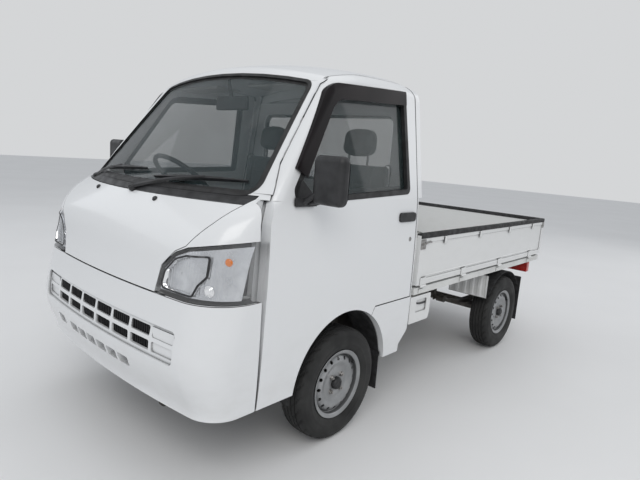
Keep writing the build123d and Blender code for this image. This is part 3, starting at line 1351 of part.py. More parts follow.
def build():
    """Builds every node of the truck."""
    for name, shape in door_parts().items():
        node(f"{name}_left", shape)
        node(f"{name}_right", mirrored(shape))
    side = cab_side()
    node("cab_side_left", side)
    node("cab_side_right", mirrored(side))
    for parts in (cab_shell_parts(), bumper_parts(), interior_parts(), gate_parts(), drivetrain_parts()):
        for name, shape in parts.items():
            node(name, shape)
    node("wipers", wipers())
    node("cab_floor", cab_floor())
    node("frame_rails", frame_rails())
    node("bed_floor", bed_floor())
    node("guard_frame", guard_frame())
    node("mudguards", mudguards())
    node("filler_panels", filler_panels())
    node("rear_axle", rear_axle())
    node("leaf_springs", leaf_springs())
    node("front_suspension", front_suspension())
    lamp = fillet(block(TAIL_LAMP_LOW, TAIL_LAMP_HIGH).edges(), TAIL_LAMP_RADIUS)
    node("tail_lamps", Part() + [*solids_of(lamp), *solids_of(mirrored(lamp))])
    left = knuckle()
    node("knuckle_left", left)
    node("knuckle_right", mirrored(left))
    rim, tyre = wheel_parts()
    for place, y in (("front", FRONT_AXLE_Y), ("rear", REAR_AXLE_Y)):
        move = Pos(TRACK / 2, y, WHEEL_Z)
        for name, shape in (("rim", rim), ("tyre", tyre)):
            left = move * shape
            node(f"{name}_{place}_left", left)
            node(f"{name}_{place}_right", mirrored(left))


build()
os.makedirs("parts", exist_ok=True)
for name, shape in NODES.items():
    export_step(Compound(children=list(shape.solids())), f"parts/{name}.step")
    box = shape.bounding_box()
    print(name, len(shape.solids()), round(shape.volume / 1000), [round(v) for v in (*box.min, *box.max)])
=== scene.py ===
import math

import bmesh
import bpy
import numpy
from mathutils import Matrix, Vector
from mathutils.bvhtree import BVHTree


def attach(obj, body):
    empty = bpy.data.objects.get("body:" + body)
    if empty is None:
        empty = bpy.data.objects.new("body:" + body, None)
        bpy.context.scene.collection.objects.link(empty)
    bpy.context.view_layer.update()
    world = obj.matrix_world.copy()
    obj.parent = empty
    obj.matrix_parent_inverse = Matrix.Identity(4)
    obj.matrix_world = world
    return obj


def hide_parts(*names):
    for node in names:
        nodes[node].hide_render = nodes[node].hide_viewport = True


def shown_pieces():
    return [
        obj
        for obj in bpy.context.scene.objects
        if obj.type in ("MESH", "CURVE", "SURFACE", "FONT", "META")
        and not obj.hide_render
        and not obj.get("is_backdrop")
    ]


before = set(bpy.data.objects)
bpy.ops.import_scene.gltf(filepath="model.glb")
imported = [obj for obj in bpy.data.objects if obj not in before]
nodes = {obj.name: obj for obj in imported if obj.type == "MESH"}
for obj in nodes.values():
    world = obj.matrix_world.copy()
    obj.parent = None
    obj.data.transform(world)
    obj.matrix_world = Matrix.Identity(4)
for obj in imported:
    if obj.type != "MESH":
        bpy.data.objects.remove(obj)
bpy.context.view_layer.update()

scene = bpy.context.scene
SIDES = (("left", 1), ("right", -1))

# Sizes in metres, as in the CAD model
FRONT_Y = -1.6975
BELT_Z = 1.150
HALF_WIDTH = 0.7375
LEAN = math.tan(math.radians(8.6))
BELT_HALF_WIDTH = 0.722
WHEEL_X = 0.6525
WHEEL_Z = 0.271
AXLES = (("front", -0.8475), ("rear", 1.0525))


# Materials


def shader(name):
    """A new node material, its tree and its Principled shader."""
    mat = bpy.data.materials.new(name)
    mat.use_nodes = True
    return mat, mat.node_tree, mat.node_tree.nodes["Principled BSDF"]


def link(tree, a, b):
    tree.links.new(a, b)


def noise_of(tree, scale, detail=4.0, stretch=(1, 1, 1), offset=(0, 0, 0)):
    """A noise texture on object coordinates, stretched along the axes."""
    place = tree.nodes.new("ShaderNodeTexCoord")
    mapping = tree.nodes.new("ShaderNodeMapping")
    mapping.inputs["Scale"].default_value = stretch
    mapping.inputs["Location"].default_value = offset
    tex = tree.nodes.new("ShaderNodeTexNoise")
    tex.inputs["Scale"].default_value = scale
    tex.inputs["Detail"].default_value = detail
    link(tree, place.outputs["Object"], mapping.inputs["Vector"])
    link(tree, mapping.outputs["Vector"], tex.inputs["Vector"])
    return tex


def ramp_of(tree, source, stops):
    """A colour ramp from a list of (place, colour)."""
    ramp = tree.nodes.new("ShaderNodeValToRGB")
    elements = ramp.color_ramp.elements
    while len(elements) < len(stops):
        elements.new(0.5)
    for element, (place, colour) in zip(elements, stops):
        element.position = place
        element.color = (*colour, 1)
    link(tree, source, ramp.inputs["Fac"])
    return ramp


def bump_of(tree, bsdf, source, strength, distance):
    bump = tree.nodes.new("ShaderNodeBump")
    bump.inputs["Strength"].default_value = strength
    bump.inputs["Distance"].default_value = distance
    link(tree, source, bump.inputs["Height"])
    link(tree, bump.outputs["Normal"], bsdf.inputs["Normal"])
    return bump


def range_of(tree, source, low, high, to_low, to_high):
    node = tree.nodes.new("ShaderNodeMapRange")
    for key, value in (("From Min", low), ("From Max", high), ("To Min", to_low), ("To Max", to_high)):
        node.inputs[key].default_value = value
    link(tree, source, node.inputs["Value"])
    return node


def add_painted_shade(tree, bsdf, source, distance, low, high, floor):
    """Painted shade: darkens a colour where other surfaces lie close, as in seams and behind openings."""
    near = tree.nodes.new("ShaderNodeAmbientOcclusion")
    near.samples = 8
    near.inputs["Distance"].default_value = distance
    amount = range_of(tree, near.outputs["AO"], low, high, floor, 1.0)
    mix = tree.nodes.new("ShaderNodeMix")
    mix.data_type = "RGBA"
    link(tree, amount.outputs["Result"], mix.inputs["Factor"])
    # Painted shade: a near-black colour is mixed in where the AO value is low
    mix.inputs[6].default_value = (0.006, 0.006, 0.006, 1)
    link(tree, source, mix.inputs[7])
    link(tree, mix.outputs[2], bsdf.inputs["Base Color"])


def mottled(name, dark, light, scale, rough, metal=0.0, bump=0.0, bump_scale=60.0, coat=0.0, spec=0.5,
            stretch=(1, 1, 1), detail=5.0, painted_shade=None):
    """A surface whose colour and roughness wander with noise, with a fine bump and, when asked, painted shade where
    other surfaces lie close.
    """
    mat, tree, bsdf = shader(name)
    tex = noise_of(tree, scale, detail, stretch)
    ramp = ramp_of(tree, tex.outputs["Fac"], [(0.32, dark), (0.68, light)])
    # Painted shade darkens the colour where other surfaces lie close
    if painted_shade:
        add_painted_shade(tree, bsdf, ramp.outputs["Color"], *painted_shade)
    else:
        link(tree, ramp.outputs["Color"], bsdf.inputs["Base Color"])
    spread = range_of(tree, tex.outputs["Fac"], 0.3, 0.7, rough[1], rough[0])
    link(tree, spread.outputs["Result"], bsdf.inputs["Roughness"])
    bsdf.inputs["Metallic"].default_value = metal
    bsdf.inputs["Coat Weight"].default_value = coat
    bsdf.inputs["Coat Roughness"].default_value = 0.06
    bsdf.inputs["Specular IOR Level"].default_value = spec
    if bump:
        fine = noise_of(tree, bump_scale, 3.0)
        bump_of(tree, bsdf, fine.outputs["Fac"], bump, 0.001)
    return mat


def paint_material(name, colour, dust, dust_top, dust_low, most):
    """Body paint with a clear coat, faint waviness, road dust that thickens towards the ground, and painted shade
    where other surfaces lie close.
    """
    mat, tree, bsdf = shader(name)
    place = tree.nodes.new("ShaderNodeTexCoord")
    parts = tree.nodes.new("ShaderNodeSeparateXYZ")
    link(tree, place.outputs["Object"], parts.inputs["Vector"])
    height = range_of(tree, parts.outputs["Z"], dust_low, dust_top, most, 0.0)
    spots = noise_of(tree, 9.0, 8.0, (1, 1, 2.2))
    streaks = range_of(tree, spots.outputs["Fac"], 0.42, 0.75, 0.0, 1.0)
    amount = tree.nodes.new("ShaderNodeMath")
    amount.operation = "MULTIPLY"
    link(tree, height.outputs["Result"], amount.inputs[0])
    link(tree, streaks.outputs["Result"], amount.inputs[1])
    tint = noise_of(tree, 2.2, 2.0)
    base = ramp_of(tree, tint.outputs["Fac"], [(0.3, [c * 0.985 for c in colour]), (0.7, colour)])
    mix = tree.nodes.new("ShaderNodeMix")
    mix.data_type = "RGBA"
    link(tree, amount.outputs["Value"], mix.inputs["Factor"])
    link(tree, base.outputs["Color"], mix.inputs[6])
    mix.inputs[7].default_value = (*dust, 1)
    # Painted shade: the colour darkens in seams and gaps between panels
    add_painted_shade(tree, bsdf, mix.outputs[2], 0.020, 0.30, 0.80, 0.0)
    rough = range_of(tree, amount.outputs["Value"], 0.0, 0.6, 0.28, 0.7)
    link(tree, rough.outputs["Result"], bsdf.inputs["Roughness"])
    bsdf.inputs["Coat Weight"].default_value = 0.55
    bsdf.inputs["Coat Roughness"].default_value = 0.07
    peel = noise_of(tree, 140.0, 2.0)
    bump_of(tree, bsdf, peel.outputs["Fac"], 0.03, 0.0006)
    return mat


def glass_material(name, tint, alpha):
    """Window glass: dark tint seen through, with a faint film of dust."""
    mat, tree, bsdf = shader(name)
    tex = noise_of(tree, 5.0, 6.0)
    ramp = ramp_of(tree, tex.outputs["Fac"], [(0.3, tint), (0.75, [min(1, c * 1.6 + 0.01) for c in tint])])
    link(tree, ramp.outputs["Color"], bsdf.inputs["Base Color"])
    rough = range_of(tree, tex.outputs["Fac"], 0.3, 0.8, 0.02, 0.07)
    link(tree, rough.outputs["Result"], bsdf.inputs["Roughness"])
    bsdf.inputs["Alpha"].default_value = alpha
    bsdf.inputs["Specular IOR Level"].default_value = 0.9
    bsdf.inputs["IOR"].default_value = 1.5
    return mat


def fabric_material(name, dark, light, pitch):
    """Woven seat cloth: crossed threads with soft sheen."""
    mat, tree, bsdf = shader(name)
    place = tree.nodes.new("ShaderNodeTexCoord")
    waves = []
    for axis in ("X", "Z"):
        wave = tree.nodes.new("ShaderNodeTexWave")
        wave.bands_direction = axis
        wave.inputs["Scale"].default_value = pitch
        wave.inputs["Distortion"].default_value = 0.6
        wave.inputs["Detail"].default_value = 1.0
        link(tree, place.outputs["Object"], wave.inputs["Vector"])
        waves.append(wave)
    weave = tree.nodes.new("ShaderNodeMath")
    weave.operation = "MULTIPLY"
    link(tree, waves[0].outputs["Fac"], weave.inputs[0])
    link(tree, waves[1].outputs["Fac"], weave.inputs[1])
    tex = noise_of(tree, 14.0, 5.0)
    shade = ramp_of(tree, tex.outputs["Fac"], [(0.3, dark), (0.7, light)])
    link(tree, shade.outputs["Color"], bsdf.inputs["Base Color"])
    bsdf.inputs["Roughness"].default_value = 0.9
    bsdf.inputs["Sheen Weight"].default_value = 0.35
    bump_of(tree, bsdf, weave.outputs["Value"], 0.5, 0.0012)
    return mat


WHITE = (0.78, 0.79, 0.80)
DUST = (0.42, 0.40, 0.36)
paint = paint_material("white_body_paint", WHITE, DUST, 0.70, 0.20, 0.16)
bed_paint = paint_material("bed_paint", (0.76, 0.765, 0.76), (0.36, 0.34, 0.30), 1.00, 0.2, 0.22)
# Worn deck paint, with painted shade where other surfaces lie close, as beside the ribs and gates
deck_paint = mottled("worn_deck_paint_with_painted_shade", (0.60, 0.60, 0.585), (0.73, 0.735, 0.72), 5.0, (0.40, 0.62), bump=0.10,
                     bump_scale=90.0, painted_shade=(0.020, 0.30, 0.80, 0.1))
black_plastic = mottled("grained_black_plastic", (0.012, 0.012, 0.013), (0.028, 0.028, 0.03), 22.0,
                        (0.38, 0.55), bump=0.25, bump_scale=420.0)
grey_plastic = mottled("grey_cabin_plastic", (0.07, 0.075, 0.08), (0.11, 0.112, 0.118), 10.0,
                       (0.5, 0.7), bump=0.3, bump_scale=380.0)
smoked = mottled("smoked_visor", (0.0035, 0.0022, 0.0028), (0.010, 0.006, 0.007), 5.0, (0.26, 0.36), spec=0.22)
rubber = mottled("black_rubber", (0.012, 0.012, 0.012), (0.032, 0.032, 0.034), 30.0, (0.6, 0.85),
                 bump=0.3, bump_scale=200.0)
tyre_rubber = mottled("tyre_rubber", (0.013, 0.013, 0.013), (0.026, 0.026, 0.025), 7.0, (0.66, 0.88), bump=0.2,
                      bump_scale=220.0)
seal = mottled("window_seal", (0.010, 0.010, 0.010), (0.024, 0.024, 0.025), 25.0, (0.45, 0.65),
               bump=0.1, bump_scale=300.0)
# Painted shade darkens the wheel's silver in the hub's hollow and in the groove between disc and lip
wheel_silver = mottled("wheel_silver", (0.26, 0.265, 0.27), (0.38, 0.385, 0.39), 10.0, (0.30, 0.50), metal=0.55,
                       painted_shade=(0.060, 0.15, 0.85, 0.06))
chrome = mottled("nut_steel", (0.24, 0.23, 0.22), (0.46, 0.45, 0.44), 60.0, (0.28, 0.5), metal=1.0)
reflector = mottled("lamp_reflector", (0.82, 0.83, 0.84), (0.95, 0.95, 0.96), 6.0, (0.05, 0.16), metal=1.0)
lamp_backing = mottled("lamp_backing", (0.55, 0.56, 0.58), (0.78, 0.79, 0.81), 14.0, (0.14, 0.30), metal=0.85)
amber = mottled("amber_bulb", (0.65, 0.16, 0.01), (0.85, 0.26, 0.02), 14.0, (0.08, 0.2), coat=0.6)
red_lens = mottled("red_lens", (0.36, 0.008, 0.006), (0.55, 0.02, 0.012), 20.0, (0.08, 0.18), coat=0.7)
clear_lens = glass_material("clear_lens", (0.80, 0.82, 0.84), 0.08)
window_glass = glass_material("window_glass", (0.030, 0.045, 0.045), 0.34)
screen_glass = glass_material("windscreen_glass", (0.035, 0.052, 0.055), 0.30)
mirror_glass = mottled("mirror_glass", (0.70, 0.73, 0.75), (0.80, 0.83, 0.85), 3.0, (0.01, 0.04), metal=1.0)
frame_paint = mottled("frame_paint", (0.018, 0.018, 0.018), (0.075, 0.066, 0.056), 8.0, (0.5, 0.8),
                      bump=0.3, bump_scale=120.0, detail=9.0)
cast_metal = mottled("cast_metal", (0.10, 0.095, 0.09), (0.24, 0.22, 0.20), 16.0, (0.55, 0.8), metal=0.6,
                     bump=0.5, bump_scale=150.0, detail=8.0)
pipe_steel = mottled("pipe_steel", (0.22, 0.17, 0.13), (0.46, 0.43, 0.40), 11.0, (0.4, 0.7), metal=0.8,
                     bump=0.2, bump_scale=120.0, detail=8.0)
alloy = mottled("radiator_alloy", (0.22, 0.22, 0.22), (0.45, 0.45, 0.45), 40.0, (0.35, 0.6), metal=0.8,
                bump=0.6, bump_scale=300.0, stretch=(1, 1, 12))
cloth = fabric_material("seat_cloth", (0.045, 0.047, 0.052), (0.085, 0.088, 0.095), 240.0)
vinyl = mottled("seat_vinyl", (0.030, 0.030, 0.032), (0.060, 0.060, 0.064), 12.0, (0.45, 0.65), bump=0.35,
                bump_scale=300.0)
liner_felt = mottled("headliner", (0.46, 0.46, 0.44), (0.55, 0.55, 0.53), 30.0, (0.8, 0.95), bump=0.3,
                     bump_scale=400.0)

NODE_MATERIALS = {
    paint: ("cab_side_left", "cab_side_right", "cab_roof", "front_panel", "front_bumper", "door_left",
            "door_right", "grille", "cab_back_wall"),
    bed_paint: ("guard_frame", "filler_panels", "gate_left", "gate_right", "tailgate"),
    deck_paint: ("bed_floor",),
    black_plastic: ("cowl", "wipers", "door_handle_left", "door_handle_right", "door_mirror_left",
                    "door_mirror_right", "steering_wheel", "cabin_mirror"),
    grey_plastic: ("dashboard",),
    smoked: ("rain_visor_left", "rain_visor_right"),
    window_glass: ("door_glass_left", "door_glass_right", "rear_window"),
    screen_glass: ("windshield",),
    rubber: ("mudguards", "gate_rail_left", "gate_rail_right", "tailgate_rail"),
    red_lens: ("tail_lamps",),
    frame_paint: ("cab_floor", "frame_rails", "leaf_springs", "front_suspension", "fuel_tank"),
    cast_metal: ("engine", "rear_axle", "knuckle_left", "knuckle_right"),
    pipe_steel: ("exhaust",),
    alloy: ("radiator",),
    cloth: ("seats",),
    clear_lens: ("headlamps",),
    wheel_silver: tuple(f"rim_{p}_{s}" for p in ("front", "rear") for s in ("left", "right")),
    tyre_rubber: tuple(f"tyre_{p}_{s}" for p in ("front", "rear") for s in ("left", "right")),
}
for mat, names in NODE_MATERIALS.items():
    for name in names:
        obj = nodes[name]
        obj.data.materials.clear()
        obj.data.materials.append(mat)


# Mesh helpers


def place(obj, mat, body, slot=None, smooth_deg=35.0):
    """Gives a piece its material, smooth shading below an edge angle and its body; the slot argument is not used."""
    obj.data.materials.clear()
    obj.data.materials.append(mat)
    for poly in obj.data.polygons:
        poly.use_smooth = True
    obj.data.set_sharp_from_angle(angle=math.radians(smooth_deg))
    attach(obj, body)
    return obj


def mesh_object(name, verts, faces):
    """A new mesh object with outward normals."""
    mesh = bpy.data.meshes.new(name)
    mesh.from_pydata([tuple(v) for v in verts], [], faces)
    mesh.update()
    bm = bmesh.new()
    bm.from_mesh(mesh)
    bmesh.ops.recalc_face_normals(bm, faces=bm.faces)
    bm.to_mesh(mesh)
    bm.free()
    obj = bpy.data.objects.new(name, mesh)
    scene.collection.objects.link(obj)
    return obj


def bake(obj):
    """Applies an object's modifiers to its mesh."""
    graph = bpy.context.evaluated_depsgraph_get()
    mesh = bpy.data.meshes.new_from_object(obj.evaluated_get(graph))
    obj.modifiers.clear()
    old = obj.data
    obj.data = mesh
    bpy.data.meshes.remove(old)
    return obj


def rings(name, loops, closed=True, cap=False):
    """A skin over equally long loops of points."""
    count = len(loops[0])
    verts = [p for loop in loops for p in loop]
    faces = []
    for i in range(len(loops) - 1):
        for j in range(count if closed else count - 1):
            k = (j + 1) % count
            a = i * count
            faces.append((a + j, a + k, a + count + k, a + count + j))
    if cap:
        faces.append(tuple(range(count)))
        faces.append(tuple(reversed(range((len(loops) - 1) * count, len(loops) * count))))
    return mesh_object(name, verts, faces)


def spin(name, profile, segments, centre, side, closed=True):
    """A profile of (distance outwards along X, radius) turned about the wheel's axis."""
    loops = []
    for x, r in profile:
        loop = []
        for i in range(segments):
            a = 2 * math.pi * i / segments
            loop.append((centre[0] + side * x, centre[1] + r * math.cos(a), centre[2] + r * math.sin(a)))
        loops.append(loop)
    if closed:
        loops.append(loops[0])
    obj = rings(name, loops)
    bm = bmesh.new()
    bm.from_mesh(obj.data)
    bmesh.ops.remove_doubles(bm, verts=bm.verts, dist=1e-6)
    bmesh.ops.recalc_face_normals(bm, faces=bm.faces)
    bm.to_mesh(obj.data)
    bm.free()
    return obj


def box_mesh(name, low, high, bevel=0.002, segments=2):
    """A box with softened edges."""
    (x0, y0, z0), (x1, y1, z1) = low, high
    verts = [(x, y, z) for x in (x0, x1) for y in (y0, y1) for z in (z0, z1)]
    faces = [(0, 1, 3, 2), (4, 6, 7, 5), (0, 4, 5, 1), (2, 3, 7, 6), (0, 2, 6, 4), (1, 5, 7, 3)]
    obj = mesh_object(name, verts, faces)
    mod = obj.modifiers.new("soft", "BEVEL")
    mod.width = bevel
    mod.segments = segments
    return bake(obj)


def sided(low, high, side):
    """A left side box's corners, put on a side."""
    if side > 0:
        return low, high
    return (-high[0], low[1], low[2]), (-low[0], high[1], high[2])


def tube(name, points, radius, segments=16):
    """A round tube along a smooth path."""
    curve = bpy.data.curves.new(name, "CURVE")
    curve.dimensions = "3D"
    spline = curve.splines.new("POLY")
    spline.points.add(len(points) - 1)
    for target, p in zip(spline.points, points):
        target.co = (*p, 1)
    curve.bevel_depth = radius
    curve.bevel_resolution = segments // 4
    curve.use_fill_caps = True
    temp = bpy.data.objects.new(name, curve)
    scene.collection.objects.link(temp)
    mesh = bpy.data.meshes.new_from_object(temp.evaluated_get(bpy.context.evaluated_depsgraph_get()))
    bpy.data.objects.remove(temp)
    bpy.data.curves.remove(curve)
    obj = bpy.data.objects.new(name, mesh)
    scene.collection.objects.link(obj)
    return obj


def disc(name, centre, axis, radius, length, segments=32, bevel=0.001):
    """A short round piece with softened rims, along an axis."""
    direction = Vector(axis).normalized()
    other = direction.orthogonal().normalized()
    third = direction.cross(other)
    profile = [(0, 0.0001), (0, radius - bevel), (bevel, radius), (length - bevel, radius),
               (length, radius - bevel), (length, 0.0001)]
    loops = []
    for along, r in profile:
        loop = []
        for i in range(segments):
            a = 2 * math.pi * i / segments
            offset = other * (r * math.cos(a)) + third * (r * math.sin(a))
            loop.append(tuple(Vector(centre) + direction * along + offset))
        loops.append(loop)
    return rings(name, loops, cap=True)


def joined(name, objects):
    """Several mesh objects made one, by copying their faces."""
    bm = bmesh.new()
    for obj in objects:
        bm.from_mesh(obj.data)
    mesh = bpy.data.meshes.new(name)
    bm.to_mesh(mesh)
    bm.free()
    for obj in objects:
        bpy.data.objects.remove(obj)
    out = bpy.data.objects.new(name, mesh)
    scene.collection.objects.link(out)
    return out


def rounded(points, radii, steps=8):
    """A closed outline in two coordinates with rounded corners."""
    out = []
    count = len(points)
    for i in range(count):
        p = Vector(points[i])
        a = (Vector(points[i - 1]) - p).normalized()
        b = (Vector(points[(i + 1) % count]) - p).normalized()
        angle = a.angle(b)
        radius = radii[i]
        if radius <= 0 or angle > math.radians(178):
            out.append(tuple(p))
            continue
        cut = radius / math.tan(angle / 2)
        centre = p + (a + b).normalized() * (radius / math.sin(angle / 2))
        start = p + a * cut - centre
        sweep = math.pi - angle
        turn = 1 if start.x * (p - centre).y - start.y * (p - centre).x > 0 else -1
        for k in range(steps + 1):
            t = turn * sweep * k / steps
            x = start.x * math.cos(t) - start.y * math.sin(t)
            y = start.x * math.sin(t) + start.y * math.cos(t)
            out.append((centre.x + x, centre.y + y))
    return out


def grown(outline, amount):
    """A closed outline moved outwards by an amount."""
    area = sum(a[0] * b[1] - b[0] * a[1] for a, b in zip(outline, outline[1:] + outline[:1]))
    sign = 1 if area > 0 else -1
    out = []
    count = len(outline)
    for i in range(count):
        a, p, b = Vector(outline[i - 1]), Vector(outline[i]), Vector(outline[(i + 1) % count])
        n1 = Vector(((p - a).y, -(p - a).x))
        n2 = Vector(((b - p).y, -(b - p).x))
        if n1.length < 1e-9 or n2.length < 1e-9:
            n = n1 if n1.length > n2.length else n2
            n = n.normalized()
        else:
            n1, n2 = n1.normalized(), n2.normalized()
            n = (n1 + n2).normalized()
            n = n / max(0.4, n.dot(n1))
        out.append(tuple(p + n * amount * sign))
    return out


def resampled(outline, step):
    """A closed outline with extra points so that no stretch is longer than a step."""
    out = []
    for a, b in zip(outline, outline[1:] + outline[:1]):
        length = math.hypot(b[0] - a[0], b[1] - a[1])
        parts = max(1, int(length / step))
        for k in range(parts):
            t = k / parts
            out.append((a[0] + (b[0] - a[0]) * t, a[1] + (b[1] - a[1]) * t))
    return out


# Surfaces of the cab, as in the CAD model


def side_x(z):
    """Half width of the cab's side at a height, above the belt line."""
    return BELT_HALF_WIDTH - max(0.0, z - BELT_Z) * LEAN


def surface_hit(tree, x, z, start_y=-1.9):
    """The place along Y where a ray towards the rear first meets a mesh."""
    hit = tree.ray_cast(Vector((x, start_y, z)), Vector((0, 1, 0)))
    return hit[0].y if hit[0] is not None else None


def tree_of(*names):
    bm = bmesh.new()
    for name in names:
        bm.from_mesh(nodes[name].data)
    tree = BVHTree.FromBMesh(bm)
    bm.free()
    return tree


def screen_terms(x, z):
    return [1, z, z * z, x * x, x * x * z, x * x * z * z, x ** 4]


screen_tree = tree_of("windshield")
rows, places = [], []
for i in range(21):
    for k in range(12):
        x, z = -0.58 + 0.058 * i, 1.185 + 0.0375 * k
        y = surface_hit(screen_tree, x, z)
        if y is not None:
            rows.append(screen_terms(x, z))
            places.append(y)
SCREEN_FIT = numpy.linalg.lstsq(numpy.array(rows), numpy.array(places), rcond=None)[0]
BODY_OVER_GLASS = 0.0095


def glass_y(x, z):
    """The windscreen glass's place along Y, from a smooth fit to its outer face."""
    return float(numpy.dot(SCREEN_FIT, screen_terms(x, z)))


def screen_y(x, z):
    """The body's surface over and beside the glass."""
    return glass_y(x, z) - BODY_OVER_GLASS


def band(name, outline, outer, inner, depth, surface):
    """A flat band along an outline, mapped on a surface: from outer to inner, with some depth."""
    base = resampled(outline, 0.03)
    a, b = grown(base, outer), grown(base, inner)
    loops = [
        [surface(p, depth[0]) for p in a],
        [surface(p, depth[1]) for p in a],
        [surface(p, depth[1]) for p in b],
        [surface(p, depth[0]) for p in b],
    ]
    loops.append(loops[0])
    obj = rings(name, loops)
    bm = bmesh.new()
    bm.from_mesh(obj.data)
    bmesh.ops.remove_doubles(bm, verts=bm.verts, dist=1e-6)
    bmesh.ops.recalc_face_normals(bm, faces=bm.faces)
    bm.to_mesh(obj.data)
    bm.free()
    return obj


WINDSCREEN = rounded(
    [(0.642, 1.164), (0.560, 1.636), (0.42, 1.6556), (0.28, 1.669), (0.14, 1.6773), (0, 1.680), (-0.14, 1.6773),
     (-0.28, 1.669), (-0.42, 1.6556), (-0.560, 1.636), (-0.642, 1.164)],
    [0.046, 0.046, 0, 0, 0, 0, 0, 0, 0, 0.046, 0.046],
)
WINDOW = rounded(
    [(-1.206, 1.124), (-1.020, 1.152), (-0.408, 1.180), (-0.426, 1.640), (-0.952, 1.606), (-1.224, 1.190)],
    [0.030, 0.300, 0.022, 0.034, 0.110, 0.030],
)


def on_screen(p, lift):
    return (p[0], screen_y(p[0], p[1]) - lift * 1.2, p[1] + lift * 0.6)


place(band("windscreen_seal", WINDSCREEN, 0.007, -0.006, (-0.012, 0.0015), on_screen), seal, "chassis",
      "black_rubber")
place(band("windscreen_border", WINDSCREEN, -0.005, -0.018, (-0.0062, -0.0050), on_screen), seal, "chassis",
      "black_rubber")
for side_name, side in SIDES:
    def on_door(p, lift, side=side):
        return (side * (side_x(p[1]) + lift), p[0], p[1])

    body = f"door_{side_name}"
    place(band(f"window_seal_{side_name}", WINDOW, 0.010, -0.014, (-0.018, 0.0018), on_door), seal, body,
          "black_rubber")
    place(band(f"window_run_{side_name}", WINDOW, -0.002, -0.030, (-0.034, -0.026), on_door), black_plastic,
          body, "black_plastic")

REAR_WINDOW = rounded([(0.520, 1.180), (0.520, 1.570), (-0.520, 1.570), (-0.520, 1.180)], [0.055] * 4)
place(band("rear_window_seal", REAR_WINDOW, 0.012, -0.016, (-0.006, 0.0), lambda p, d: (p[0], -0.2796 + d, p[1])),
      seal, "chassis", "black_rubber")

# Trims where the cab's solids are open: beside the windscreen, and between the roof and the rear wall
PILLAR_LOW_Z = 1.172
PILLAR_TOP_Z = 1.652
PILLAR_STEP = 0.012
PILLAR_ROWS = 41
PILLAR_COLUMNS = 8
PILLAR_THICKNESS = 0.005
DOOR_MARGIN = 0.008
DOOR_SEARCH_Y = -1.400
DOOR_SEARCH_STEP = 0.001
DOOR_SEARCH_COUNT = 520
REAR_TRIM_HALF_WIDTH = 0.552
REAR_TRIM_STEP = 0.024
REAR_TRIM_COUNT = 47
REAR_TRIM_LOW_Z = 1.6402
REAR_TRIM_Y = (-0.2875, -0.2990)


def screen_edge(z):
    """Half width of the windscreen's outline at a height."""
    best = 0.545
    for (xa, za), (xb, zb) in zip(WINDSCREEN, WINDSCREEN[1:] + WINDSCREEN[:1]):
        if (za - z) * (zb - z) < 0:
            best = max(best, xa + (xb - xa) * (z - za) / (zb - za))
    return best


def door_front(tree, z):
    """Where the door's skin begins at a height: its place along Y and its half width."""
    for i in range(DOOR_SEARCH_COUNT):
        y = DOOR_SEARCH_Y + DOOR_SEARCH_STEP * i
        hit = tree.ray_cast(Vector((1.0, y, z)), Vector((-1, 0, 0)))
        if hit[0] is not None and hit[0].x > 0.45:
            return y, hit[0].x
    return None


door_tree = tree_of("door_left")
pillar = []
for i in range(PILLAR_ROWS):
    z = PILLAR_LOW_Z + PILLAR_STEP * i
    found = door_front(door_tree, z)
    if found is None or z > PILLAR_TOP_Z:
        break
    door_y, door_x = found
    inner = screen_edge(z) + 0.005
    outer = max(door_x - 0.002, inner + 0.010)
    loop = []
    for k in range(PILLAR_COLUMNS + 1):
        t = k / PILLAR_COLUMNS
        x = inner + (outer - inner) * t
        y = screen_y(x, z)
        y += (door_y - DOOR_MARGIN - screen_y(outer, z)) * t ** 3
        loop.append((x, y, z))
    pillar.append(loop + [(x - 0.002, y + PILLAR_THICKNESS, z) for x, y, _ in reversed(loop)])
for side_name, side in SIDES:
    trim = rings(f"pillar_trim_{side_name}", [[(side * x, y, z) for x, y, z in loop] for loop in pillar], cap=True)
    place(trim, paint, "chassis", "white_paint", 40)

roof_tree = tree_of("cab_roof")
columns = []
front_y, back_y = REAR_TRIM_Y
for i in range(REAR_TRIM_COUNT):
    x = -REAR_TRIM_HALF_WIDTH + REAR_TRIM_STEP * i
    hit = roof_tree.ray_cast(Vector((x, -0.290, 1.600)), Vector((0, 0, 1)))
    top = max(1.6410, (hit[0].z if hit[0] is not None else 1.6420) - 0.0003)
    columns.append([(x, front_y, REAR_TRIM_LOW_Z), (x, front_y, top), (x, back_y, top), (x, back_y, REAR_TRIM_LOW_Z)])
place(rings("roof_rear_trim", columns, cap=True), paint, "chassis", "white_paint", 40)

# Tyres and wheels

TYRE_SIDE = (
    (0.0495, 0.1530), (0.0535, 0.1640), (0.0560, 0.1680), (0.0630, 0.1770), (0.0685, 0.1880), (0.0710, 0.1960),
    (0.0722, 0.1985), (0.0722, 0.2010), (0.0714, 0.2040), (0.0726, 0.2150), (0.0728, 0.2250), (0.0716, 0.2360),
    (0.0705, 0.2375), (0.0702, 0.2400), (0.0692, 0.2415), (0.0670, 0.2500), (0.0640, 0.2570),
)
GROOVES = (0.034, 0.0115, -0.0115, -0.034)
TYRE_STEPS = 168


